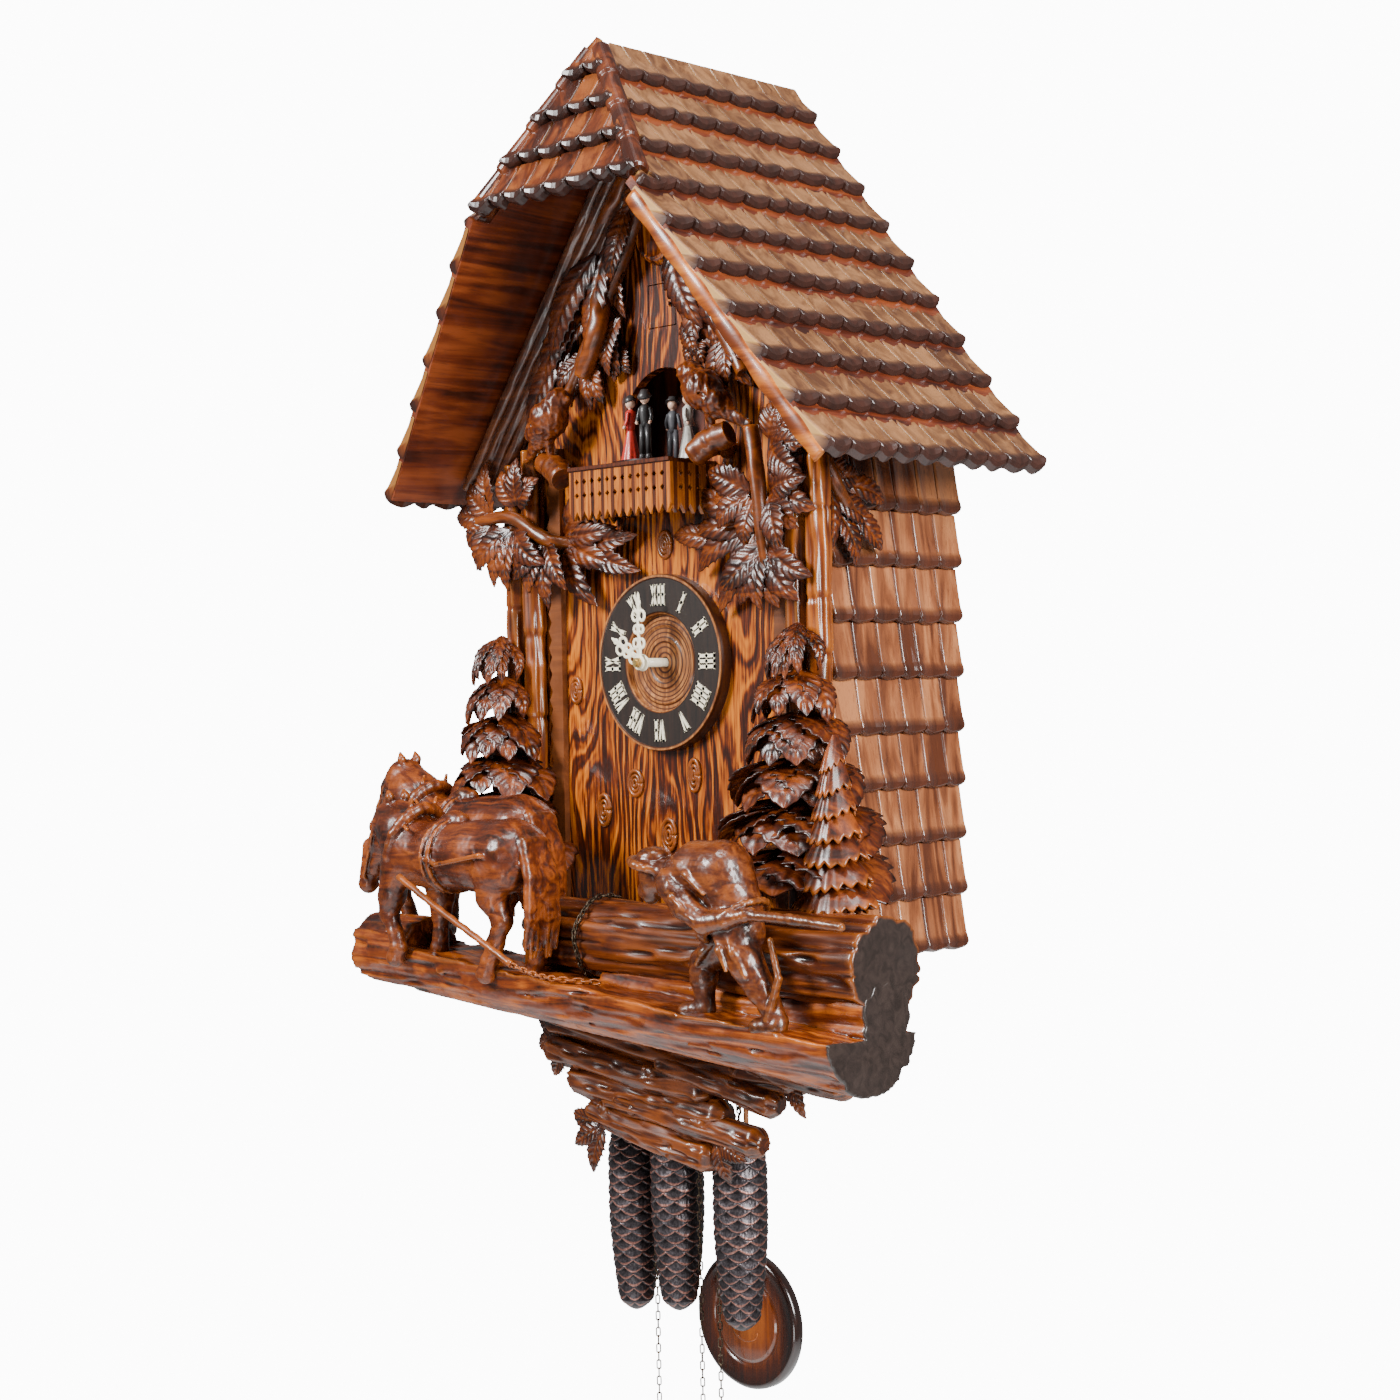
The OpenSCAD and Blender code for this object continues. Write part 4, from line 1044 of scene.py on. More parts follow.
def build_foliage(material):
    """Three groups of leaves and branches; returns the boss they frame."""
    left = Bag()
    tuft(left, -206, -262, 27, 6, 95, 285, 50, 27)
    tuft(left, -176, -270, 28, 5, 215, 320, 62, 28)
    tuft(left, -170, -256, 28, 3, 40, 120, 44, 25)
    tuft(left, -136, -284, 24, 5, 200, 300, 60, 27)
    tuft(left, -126, -282, 12, 4, -52, 38, 76, 27, 10)
    leaf(left, on_front(-92, -296, 8), on_front(-26, -318, 3), 24, 10)
    leaf(left, on_front(-96, -290, 8), on_front(-28, -286, 3), 23, 11)
    twig(left, [on_front(-226, -262, 26), on_front(-176, -262, 28), on_front(-134, -284, 24),
                on_front(-108, -291, 8), on_front(-60, -306, 5)], [6, 6, 7, 6, 3])
    left.make("leaves_left", material, "case", "foliage_left")
    right = Bag()
    tuft(right, 148, -222, 26, 4, -30, 70, 44, 26)
    tuft(right, 146, -262, 26, 5, -70, 40, 50, 28)
    tuft(right, 142, -302, 25, 6, 225, 330, 62, 29)
    tuft(right, 130, -262, 24, 4, 150, 250, 50, 26)
    tuft(right, 122, -288, 11, 4, 152, 236, 76, 27, 10)
    leaf(right, on_front(82, -300, 8), on_front(18, -290, 3), 23, 11)
    twig(right, [on_front(131, -206, 26), on_front(140, -262, 28), on_front(146, -340, 24)], [7, 7, 5])
    twig(right, [on_front(138, -276, 26), on_front(112, -290, 9), on_front(56, -306, 5)], [6, 6, 3])
    wall_x = box_mm("wall_shingles")[1][0]
    for y, z, dy, dz in ((-186, -236, 26, -16), (-178, -250, 34, 4), (-172, -268, 40, -20),
                         (-168, -280, 20, -44),
                         (-176, -262, -4, -52), (-160, -256, 50, -14), (-150, -276, 34, -34)):
        side_y = PANEL_Y + 180 + y
        leaf(right, (wall_x + 7, side_y, HOOK_Z + z), (wall_x + 4, side_y + dy, HOOK_Z + z + dz), 23, 7, 7,
             (1, 0, 0))
    twig(right, [(wall_x + 4, PANEL_Y - 8, HOOK_Z - 226), (wall_x + 9, PANEL_Y + 10, HOOK_Z - 262),
                 (wall_x + 5, PANEL_Y + 46, HOOK_Z - 296)], [7, 6, 4])
    right.make("leaves_right", material, "case", "foliage_right")
    top = Bag()
    for hand in (-1, 1):
        tuft(top, hand * 62, -74, 9, 4, 190 if hand < 0 else 262, 278 if hand < 0 else 350, 62, 26)
        tuft(top, hand * 88, -118, 10, 5, 200 if hand < 0 else 250, 290 if hand < 0 else 340, 52, 25)
        tuft(top, hand * 48, -112, 7, 3, 250 if hand > 0 else 215, 325 if hand > 0 else 290, 34, 19, 5)
        leaf(top, on_front(hand * 46, -36, 7), on_front(hand * 40, -92, 3), 20, 6)
        leaf(top, on_front(hand * 44, -32, 7), on_front(hand * 92, -66, 5), 25, 8)
        twig(top, [on_front(hand * 10, 12, 9), on_front(hand * 38, -36, 10), on_front(hand * 78, -104, 11),
                   on_front(hand * 112, -158, 14)], [9, 8, 8, 6])
    for x0, z0, x1, z1, wide, out in ((-62, -34, -126, -126, 36, 22), (-54, -30, -76, -134, 32, 18),
                                      (-20, 4, -48, -62, 28, 20),
                                      (34, -34, 70, -116, 34, 22), (42, -28, 48, -112, 26, 16),
                                      (60, -40, 96, -128, 32, 18),
                                      (70, -60, 128, -126, 30, 16), (-92, -70, -150, -150, 32, 16),
                                      (16, 14, 56, -38, 28, 18),
                                      (-42, -92, -58, -142, 24, 12), (40, -98, 56, -140, 22, 10),
                                      (100, -96, 144, -164, 32, 16),
                                      (-104, -104, -168, -190, 32, 14), (2, 40, -28, -14, 24, 18),
                                      (4, 40, 34, -10, 24, 18)):
        leaf(top, on_front(x0, z0, out), on_front(x1, z1, out - 6), wide, 9, 10)
    twig(top, [on_front(-96, -36, 8), on_front(-44, 10, 14), on_front(-8, 66, 10)], [8, 9, 7])
    twig(top, [on_front(60, -66, 12), on_front(84, -72, 24), on_front(112, -96, 22),
               on_front(128, -126, 16)], [9, 10, 8, 7])
    twig(top, [on_front(-64, -60, 12), on_front(-60, -100, 22), on_front(-84, -140, 20)], [9, 10, 8])
    top.make("leaves_top", material, "case", "foliage_top")
    boss = Bag()
    turn = angles(64)
    rings = [(1.0, 0.5), (0.97, 6.0), (0.90, 9.5), (0.84, 10.5), (0.80, 9.0), (0.6, 8.6), (0.0, 8.4)]
    boss.add([on_front(f * 27 * math.cos(a), -14 + f * 36 * math.sin(a), d) for f, d in rings for a in turn],
             grid_faces(len(rings), 64, True)[:, ::-1])
    return boss


def build_song_birds(material):
    """Two birds on stubs among the leaves."""
    bag = Bag()
    for hand, x, z in ((-1, -116, -176), (1, 80, -170)):
        centre = on_front(x, z, 30)
        clay = Clay(centre - (62, 40, 62), centre + (52, 32, 44), 1.15)

        def at(ahead, out, up, hand=hand, centre=centre):
            return centre + (-hand * ahead, -out, up)
        clay.limb([at(-14, 0, -12), at(0, 2, 0), at(8, 2, 6)], [13, 16, 12], blend=7)
        clay.bone(at(12, 2, 15), at(14, 2, 16), 10.5, blend=6)
        clay.limb([at(23, 3, 16), at(30, 3, 14)], [3.4, 0.8], blend=2)
        clay.limb([at(-20, -1, -18), at(-44, -8, -34)], [8, 3.4], blend=6, thin=(1, 0.6, 1))
        for side in (-1, 1):
            clay.limb([at(0, side * 13, 4), at(-24, side * 8, -14)], [8, 2.5], blend=3, thin=(1, 0.5, 1))
            clay.bone(at(17, side * 8 + 2, 18), at(17.5, side * 8.4 + 2, 18), 1.9, blend=0.8)
            for k in range(4):
                clay.groove([at(2 - 4 * k, side * 16, 6 - 5 * k), at(-12 - 4 * k, side * 14, -6 - 3 * k)],
                            0.8)
        for k in range(-2, 3):
            clay.groove([at(-26, 2, -21 + k * 1.8), at(-44, -4, -35 + k * 2)], 0.6)
        clay.limb([at(-4, 0, -14), at(-6, -4, -34)], [4.5, 3], blend=4)
        bag.add(*clay.mesh(rough=2.4, grain=(3.6, 3.6, 6.5), fine=1.0, fine_grain=(1.8, 1.8, 4)))
        stub = [on_front(x + hand * -14, z - 56, 30), on_front(x, z - 46, 26),
                on_front(x + hand * 20, z - 38, 20)]
        twig(bag, stub, [11, 12, 11])
        twig(bag, [on_front(x, z - 46, 22), on_front(x + hand * 2, z - 50, 2)], [7, 8])
    bag.make("song_birds_carved", material, "case", "song_birds")


def pine(bag, x, z_low, z_top, width, y_back, depth, tiers):
    """Stacked drooping skirts with toothed, grooved edges, nearly flat at the back."""
    step = (z_top - z_low) / tiers
    sides, rows = 120, 15
    turn = angles(sides)
    for i in range(tiers):
        top = min(z_top, z_low + (i + 1.55) * step)
        half = width / 2 * (1 - i / (tiers + 0.4))
        deep = depth * (0.55 + 0.45 * (1 - i / tiers))
        teeth = max(9, int(half / 3.4))
        seed = RNG.uniform(0, 40)
        tooth = np.abs(((turn / TURN * teeth * 2 + seed) % 1.0) - 0.5) * 2
        lump = noise3(ring_spots(turn, 3, 0, seed))
        rings = []
        fall = np.concatenate([np.linspace(0, 1, rows), [1.0, 0.86, 0.6]])
        inset = np.concatenate([np.zeros(rows), [0.13, 0.4, 0.85]])
        for v, cut in zip(fall, inset):
            reach = (0.05 + 0.95 * v ** 0.85) * (1 - cut)
            ridge = 1 + (0.10 * (tooth - 0.5) + 0.12 * (lump - 0.5)) * v
            front = np.where(np.cos(turn) > 0, deep, 3.0)
            px = x + half * reach * ridge * np.sin(turn)
            py = y_back - 3 - front * (0.25 + 0.75 * reach) * np.cos(turn) * (0.93 + 0.09 * tooth * v)
            low = z_low + i * step - 6 + 8 * (np.abs(np.sin(turn)) ** 3) * v
            pz = top + (low - top) * v - (tooth * 5.0 + 3 * lump) * v ** 3
            rings.append(np.stack([px, np.minimum(py, y_back), pz], 1))
        bag.add(np.concatenate(rings), grid_faces(len(rings), sides, True)[:, ::-1])


def fan_tree(bag, x, z_low, z_top, width, y_back, depth, tiers):
    """Carved fir made of tiers of broad, grooved fans that droop outwards from the trunk."""
    step = (z_top - z_low) / tiers
    for i in range(tiers):
        share = 1 - i / (tiers + 0.2)
        half, deep = width / 2 * share, depth * (0.35 + 0.65 * share)
        height = z_low + (i + 1.05) * step
        fans = 7 if i % 2 else 6
        for k in range(fans):
            turn = math.radians(-84 + 168 * k / (fans - 1) + RNG.uniform(-5, 5))
            reach = RNG.uniform(0.9, 1.1)
            root = (x + 3 * math.sin(turn), y_back - 5, height + RNG.uniform(-3, 6))
            tip = (x + half * reach * math.sin(turn), y_back - 4 - deep * reach * math.cos(turn),
                   height - step * RNG.uniform(1.0, 1.25))
            facing = (math.sin(turn) * 0.5, -math.cos(turn) * 0.5, 0.9)
            leaf(bag, root, tip, max(17.0, half * 1.02), 12, 7, facing, 3.0)
    twig(bag, [(x, y_back - 8, z_low - 40), (x, y_back - 8, (z_low + z_top) / 2), (x, y_back - 6, z_top + 2)],
         [10, 8, 2.5])


def build_pines(material):
    """Carved firs on both sides of the scene."""
    for node, x, width, tiers in (("pine_left", -190, 156, 6), ("pine_right", 184, 186, 6)):
        hi = box_mm(node)[1]
        bag = Bag()
        fan_tree(bag, x, -592, -378, width, hi[1] - 4, 56, tiers)
        if node == "pine_right":
            pine(bag, 243, -592, -462, 82, hi[1] - 26, 34, 7)
            twig(bag, [(243, hi[1] - 34, -620), (243, hi[1] - 34, -588)], [10, 8])
        bag.make(node + "_carved", material, "case", node)


# ---- logs ----

def build_log_base(material):
    """Half log that carries the scene, with its shelf."""
    lo, hi = box_mm("log_base")
    clay = Clay(lo, hi, 2.0)
    p = clay.grid()
    along = np.clip((p[..., 0] - lo[0]) / (hi[0] - lo[0]), 0, 1)
    radius = 31 + 22 * along
    centre_y, centre_z = -285 + 5 * along, -659 - 22 * along
    bark = noise3(np.stack([p[..., 0] / 60, p[..., 1] / 7.0, p[..., 2] / 7.0], -1))
    crack = noise3(np.stack([p[..., 0] / 34 + 9, p[..., 1] / 3.6, p[..., 2] / 3.6], -1))
    d = np.hypot(p[..., 1] - centre_y, p[..., 2] - centre_z) - radius - 1.0
    d = d + 9.0 * np.clip(0.52 - bark, 0, 1) + 9.0 * np.clip(0.40 - crack, 0, 1)
    ends = np.maximum(lo[0] + 1.5 - p[..., 0], p[..., 0] - hi[0] + 1.5)
    d = np.maximum(d, ends)
    ground = -667.6 - 0.0699 * p[..., 0]
    bumps = noise3(np.stack([p[..., 0] / 16, p[..., 1] / 12, p[..., 2] * 0], -1))
    notch = np.minimum(p[..., 2] - ground - 3.0 * (bumps - 0.35), (p[..., 0] + 212) * 0.8)
    d = np.maximum(d, notch)
    shelf = np.maximum.reduce([abs(p[..., 0]) - 165, abs(p[..., 1] + 215) - 35, abs(p[..., 2] + 690) - 6])
    upright = np.maximum.reduce([abs(p[..., 0]) - 165, abs(p[..., 1] + 185) - 5,
                                 abs(p[..., 2] + 670.5) - 25.5])
    under = np.hypot(p[..., 1] + 262, p[..., 2] + 676) - 27 + 6 * (0.5 - bark)
    under = np.maximum.reduce([under, 20 - p[..., 0], ends])
    clay.field = np.minimum.reduce([d, shelf, upright, under]).astype(np.float32)
    points, faces = clay.mesh(fine=0.5)
    mark = ((points[:, 0] > hi[0] - 4.5) | (points[:, 0] < lo[0] + 4.5)).astype(float)
    bag = Bag()
    bag.add(points, faces, mark)
    bag.make("base_log_carved", material, "case", "log_base")


def log(bag, start, end, r0, r1, ridges=9, rough=0.16, sides=56, run=3.5):
    """Log with ridged, cracked bark and plain sawn ends."""
    start, end = np.asarray(start, float), np.asarray(end, float)
    path = start + (end - start) * np.linspace(0, 1, 90)[:, None]
    seed = RNG.uniform(0, 60)

    def bark(along, turn):
        spot = ring_spots(turn, ridges / 3, along * run, seed)
        split = np.clip(0.42 - noise3(spot * 2.1 + 5), 0, 1)
        return 1.02 - rough + rough * noise3(spot) - rough * 2.4 * split
    bag.tube(path, np.linspace(r0, r1, 90), sides, 1.0, bark, 1.0)


def build_hauled_log(material, chain_material):
    """Log behind the horses, with a chain round it."""
    hi = box_mm("hauled_log")[1]
    bag = Bag()
    centre_y, centre_z = -262, -635
    log(bag, (-66, centre_y, centre_z), (hi[0], centre_y, centre_z - 4), 33, 42, 16, 0.17, 120, 6.0)
    for k in range(4):
        z = -608 - 17 * k
        bag.tube([(-84, -266 - 10, z), (-84, -266, z - 5), (-84, -256, z)], [8, 10, 8], 12, 1.0, None, 1.0)
    bag.tube([(-78, -266, -596), (-80, -266, -634), (-80, -266, -668)], [9, 12, 11], 16, 1.3, None, 1.0)
    bag.make("hauled_log_carved", material, "case", "hauled_log")
    links = Bag()
    turn = np.linspace(-0.5, math.pi + 0.3, 24)
    for k, a in enumerate(turn):
        spot = np.array([2 + 1.2 * math.sin(k), centre_y - 36 * math.sin(a), centre_z + 36 * math.cos(a)])
        way = np.array([0.15, -math.cos(a), -math.sin(a)]) * 4.4
        side = np.array([2.0, 0, 0]) if k % 2 else np.array([0, -math.sin(a), math.cos(a)]) * 1.6
        oval = [spot + way * math.cos(t) + side * math.sin(t) for t in np.linspace(0, TURN, 15)]
        links.tube(oval, 0.9, 6)
    links.make("log_chain", chain_material)


def build_branch_pile(material):
    """Crossed branches under the log."""
    bag = Bag()
    for a, b, r0, r1 in (((-150, -196, -748), (66, -197, -768), 14, 15),
                         ((-118, -197, -774), (82, -197, -790), 14, 15),
                         ((-94, -196, -800), (64, -195, -827), 12, 14),
                         ((-72, -197, -788), (124, -198, -808), 12, 13),
                         ((0, -197, -746), (144, -198, -772), 14, 13),
                         ((-152, -196, -720), (176, -196, -748), 15, 14),
                         ((58, -197, -722), (222, -198, -750), 13, 11),
                         ((-172, -196, -704), (252, -196, -720), 14, 12)):
        middle = (np.array(a) + b) / 2 + (0, RNG.uniform(-4, 2), RNG.uniform(-7, 7))
        path = smooth_path([a, middle, b], 80)
        seed = RNG.uniform(0, 60)

        def bark(along, turn, seed=seed):
            spot = ring_spots(turn, 3, along * 5, seed)
            return 0.86 + 0.34 * noise3(spot) - 0.9 * np.clip(0.42 - noise3(spot * 2 + 3), 0, 1)
        taper = np.linspace(r0, r1, 80) * np.clip(np.minimum(np.arange(80) + 1, 80 - np.arange(80)) / 5, 0,
                                                  1) ** 0.4
        bag.tube(path, taper, 48, 1.0, bark)
        for k in (18, 58):
            way = np.array([RNG.uniform(-26, 26), -RNG.uniform(9, 13), RNG.uniform(-16, 16)])
            twig(bag, [path[k], path[k] + way * 0.6, path[k] + way], [8, 7, 3])
    for x, z, turn0, turn1 in ((150, -742, -50, 40), (-120, -742, 150, 240), (70, -806, -70, 10),
                               (-70, -812, 170, 250)):
        tuft(bag, x, z, 22, 3, turn0, turn1, 44, 22, 4)
    bag.make("branch_pile_carved", material, "case", "branch_pile")


# ---- horses and people ----

def build_horse(node, chest, bow, reach, material):
    """Carved horse from its chest; bow lowers the head and reach stretches the front."""
    lo, hi = box_mm(node)
    chest = np.asarray(chest, float)
    clay = Clay(lo - (40, 14, 14), hi + (45, 14, 16), 1.4)

    def at(x, y, z):
        """Point on the horse; the body is stretched and the head lowered by bow."""
        share = max(0.0, min(1.0, (12 - x) / 46)) if z > 2 else 0.0
        return chest + (x * (1.20 if x > 0 else reach) - bow * 0.12 * share, y * 1.1, z * 1.03 - bow * share)
    clay.limb([at(8, 0, -2), at(50, 0, -1), at(90, 0, 0), at(122, 0, 4)], [28, 30, 30, 30], blend=8)
    clay.bone(at(126, 8, 2), at(128, 10, -8), 24, 20, blend=8)
    clay.bone(at(126, -8, 2), at(128, -10, -8), 24, 20, blend=8)
    clay.limb([at(14, 0, 6), at(0, 0, 26), at(-14, 0, 44)], [28, 25, 20], blend=8)
    clay.limb([at(-16, 0, 50), at(-27, 0, 38), at(-38, 0, 20)], [14.5, 13.5, 10], blend=5)
    clay.limb([at(-38, 0, 20), at(-46, 0, 2), at(-49, 0, 3)], [9.8, 8.6, 9.4], blend=4)
    clay.bone(at(-19, 0, 36), at(-27, 0, 26), 12, 8, blend=5)
    for x, z, r in ((-25, 39, 15.2), (-40, 14, 10.6)):
        strap = [at(x + 0.45 * r * math.sin(t), r * math.cos(t), z + 0.8 * r * math.sin(t))
                 for t in np.linspace(0, TURN, 19)]
        clay.limb(strap, 1.7, blend=0.8)
    clay.groove([at(-54, -9, 2), at(-44, -10.5, 6)], 0.9)
    for s in (-1, 1):
        clay.limb([at(-11, s * 7, 58), at(-10, s * 8, 64), at(-12, s * 8, 71)], [3.6, 3.8, 1.2], blend=3)
        clay.bone(at(-31, s * 9, 42), at(-32, s * 9.2, 41), 2.6, blend=1.5)
        clay.bone(at(-52, s * 5, 10), at(-53, s * 6, 8), 1.8, blend=1, cut=True)
        clay.limb([at(-27, s * 13.5, 40), at(-36, s * 11.5, 22), at(-41, s * 10.5, 12)], 1.7, blend=0.8)
        front = [at(12 + s * 10, s * 12, -14), at(10 + s * 16, s * 12, -38), at(8 + s * 19, s * 11, -53),
                 at(12 + s * 14, s * 11, -72), at(13 + s * 12, s * 11, -82)]
        clay.limb(front, [16, 12, 8.5, 6.4, 8], blend=5)
        clay.bone(at(12 + s * 12, s * 11, -84), at(9 + s * 12, s * 11, -91), 7.6, 9.2, blend=3)
        back = [at(124 + s * 8, s * 13, -12), at(124 + s * 11, s * 12, -32), at(134 + s * 12, s * 11, -52),
                at(126 + s * 13, s * 11, -74), at(122 + s * 14, s * 11, -84)]
        clay.limb(back, [20, 14, 8.5, 6.6, 8], blend=5)
        clay.bone(at(121 + s * 14, s * 11, -87), at(117 + s * 14, s * 11, -97), 7.6, 9.2, blend=3)
        for k in range(5):
            clay.groove([at(4 + k * 2 + s * 12, s * 20, -72), at(2 + k * 2.4 + s * 12, s * 20, -86)], 0.7)
        clay.limb([at(-4, s * 10, 44), at(30, s * 25, 22)], [1.6, 1.6], blend=1)
        clay.limb([at(18, s * 23, 6), at(70, s * 31, -6), at(120, s * 32, 4), at(146, s * 14, -4)], 2.2,
                  blend=1)
        clay.limb([at(96, s * 20, 20), at(112, s * 28, 2), at(116, s * 27, -14)], 2, blend=1)
    for k in range(9):
        f = k / 8
        root = at(-12 + 34 * f, -2, 60 - 32 * f)
        clay.limb([root, root + (2, -9, -8), root + (6, -15, -24 - 3 * (k % 2))], [5, 4, 1.6], blend=1.4)
    clay.limb([at(-18, -3, 60), at(-29, -5, 50), at(-32, -4, 44)], [4, 3, 1.3], blend=1.5)
    collar = [at(10 + 13 * math.sin(t), 25.5 * math.cos(t), 10 + 29 * math.sin(t))
              for t in np.linspace(0, TURN, 25)]
    clay.limb(collar, 5.2, blend=1.5)
    clay.limb([at(19, -12, 38), at(22, -12, 48)], [2.6, 1.4], blend=1)
    clay.limb([at(19, 12, 38), at(22, 12, 48)], [2.6, 1.4], blend=1)
    for x, r in ((52, 30.8), (60, 31.0)):
        girth = [at(x, r * math.cos(t), r * math.sin(t) - 1) for t in np.linspace(0, TURN, 25)]
        clay.limb(girth, 1.9, blend=0.8)
    clay.limb([at(48, 0, 28), at(58, 0, 30), at(66, 0, 29)], [7, 8, 7], blend=3)
    for k in range(9):
        y = (k - 4) * 3.5
        clay.limb([at(128, y * 0.5, 22), at(144, y * 0.7, 14), at(153, y * 0.9, -14), at(154, y * 1.05, -48),
                   at(148 + (k % 3) * 3, y * 0.9, -74 - 6 * (k % 2))], [6.0, 5.6, 4.6, 3.8, 1.6], blend=0.5)
    bag = Bag()
    bag.add(*clay.mesh(rough=0.8, grain=(9, 9, 9), fine=0.5, fine_grain=(3, 1.6, 3)))
    bag.make(node + "_carved", material, "case", node)


def build_harness(material):
    """Trace and chain between the near horse and the log."""
    bag = Bag()
    y = box_mm("harness")[0][1] + 3
    bag.tube(smooth_path([(-176, y, -585), (-120, y - 1, -610), (-66, y - 1, -633), (-24, y, -652)], 30),
             3.0, 14, 1.0, lambda along, turn: 1 + 0.12 * np.sin(along * 60) * np.cos(turn))
    path = smooth_path([(-24, y, -652), (-6, y + 11, -660), (10, y + 24, -664), (40, y + 40, -666)], 16)
    for k in range(len(path) - 1):
        middle = (path[k] + path[k + 1]) / 2
        way = (path[k + 1] - path[k]) * 0.75
        side = np.cross(way, (0, 0, 1) if k % 2 else (0.4, 1, 0))
        side *= 2.1 / np.linalg.norm(side)
        bag.tube([middle + way * math.cos(t) + side * math.sin(t) for t in np.linspace(0, TURN, 13)], 0.85, 6)
    bag.make("harness_carved", material, "case", "harness")


def build_logger(material):
    """Carved logger who steers the log with a pole."""
    lo, hi = box_mm("logger")
    clay = Clay(lo - 6, hi + 6, 1.2)
    clay.limb([(122, -318, -577), (121, -318, -570)], [12, 12.5], blend=3)
    clay.bone((110.5, -318, -576), (109, -318, -578), 3.0, blend=1.5)
    clay.limb([(112, -318, -585), (118, -318, -588)], [7, 8], blend=3)
    clay.bone((132, -317, -578), (142, -316, -576), 9, 12, blend=4)
    brim = [(121 + 18 * math.cos(t), -318 + 18 * math.sin(t), -564 - 4 * math.cos(t))
            for t in np.linspace(0, TURN, 19)]
    clay.limb(brim, 3.0, blend=3)
    clay.bone((121, -318, -563), (122, -318, -562), 18, 17, blend=1.5, thin=(1, 1, 0.3))
    clay.limb([(121, -318, -562), (122, -318, -558)], [15.5, 14.5], blend=0.8, thin=(1, 1, 0.62))
    clay.groove([(116, -318, -537), (134, -318, -536)], 2.8)
    clay.limb([(148, -316, -574), (172, -316, -567), (196, -316, -567), (212, -316, -594)], [18, 23, 24, 21],
              blend=6)
    clay.limb([(208, -316, -604), (216, -316, -612)], [21, 19], blend=5)
    skirt = [(203 + 21 * math.cos(t), -316 + 24 * math.sin(t), -606 + 12 * math.cos(t))
             for t in np.linspace(0, TURN, 19)]
    clay.limb(skirt, 3.4, blend=4)
    clay.limb([(206, -306, -612), (180, -306, -630), (166, -307, -640)], [16, 14, 12], blend=4)
    clay.limb([(166, -307, -640), (166, -308, -656), (168, -309, -674)], [11, 9.5, 8], blend=2)
    clay.bone((166, -308, -648), (166, -308, -652), 11.8, 11.4, blend=1)
    clay.limb([(170, -310, -677), (152, -314, -679)], [8, 7], blend=3)
    clay.limb([(212, -322, -612), (226, -322, -634), (236, -320, -650)], [16, 14, 12], blend=4)
    clay.limb([(238, -320, -652), (248, -319, -666), (255, -318, -677)], [11, 9.2, 8], blend=2)
    clay.bone((238, -320, -653), (240, -320, -656), 11.8, 11.2, blend=1)
    clay.limb([(256, -320, -681), (238, -323, -683)], [8, 7], blend=3)
    clay.limb([(156, -332, -577), (176, -338, -592), (198, -339, -604)], [13, 11, 9], blend=3)
    clay.limb([(198, -339, -604), (218, -336, -601), (234, -332, -597)], [9, 7.6, 6], blend=2)
    clay.limb([(156, -302, -577), (178, -298, -594), (206, -312, -600), (228, -324, -598)], [12, 10, 8, 6],
              blend=3)
    clay.bone((236, -331, -597), (240, -330, -596), 5.6, 5, blend=1.5)
    for x0, y0, z0, x1, y1, z1 in ((160, -334, -556, 200, -341, -582), (172, -330, -550, 212, -336, -582),
                                   (150, -336, -566, 176, -343, -588), (196, -331, -552, 222, -330, -596),
                                   (206, -333, -612, 220, -338, -640), (216, -334, -610, 236, -334, -644),
                                   (196, -318, -614, 176, -321, -630), (190, -322, -622, 170, -320, -640),
                                   (160, -344, -578, 186, -349, -594), (166, -343, -590, 196, -348, -602)):
        clay.limb([(x0, y0, z0), ((x0 + x1) / 2, (y0 + y1) / 2 - 2, (z0 + z1) / 2 + 1), (x1, y1, z1)],
                  [1.6, 3.2, 1.4],
                  blend=2.5)
    hem = [(210 + 24 * math.cos(t), -316 + 26 * math.sin(t), -604 + 17 * math.cos(t))
           for t in np.linspace(0, TURN, 25)]
    clay.limb(hem, 2.6, blend=1.2)
    clay.limb([(232, -331, -597), (280, -328, -598), (328, -326, -601)], [4.2, 4.4, 3.4], blend=0.8)
    clay.limb([(252, -326, -676), (262, -324, -644), (252, -322, -616)], [3.4, 3.2, 2.4], blend=1)
    bag = Bag()
    bag.add(*clay.mesh(rough=0.8, grain=(8, 8, 8), fine=0.45))
    bag.make("logger_carved", material, "case", "logger")


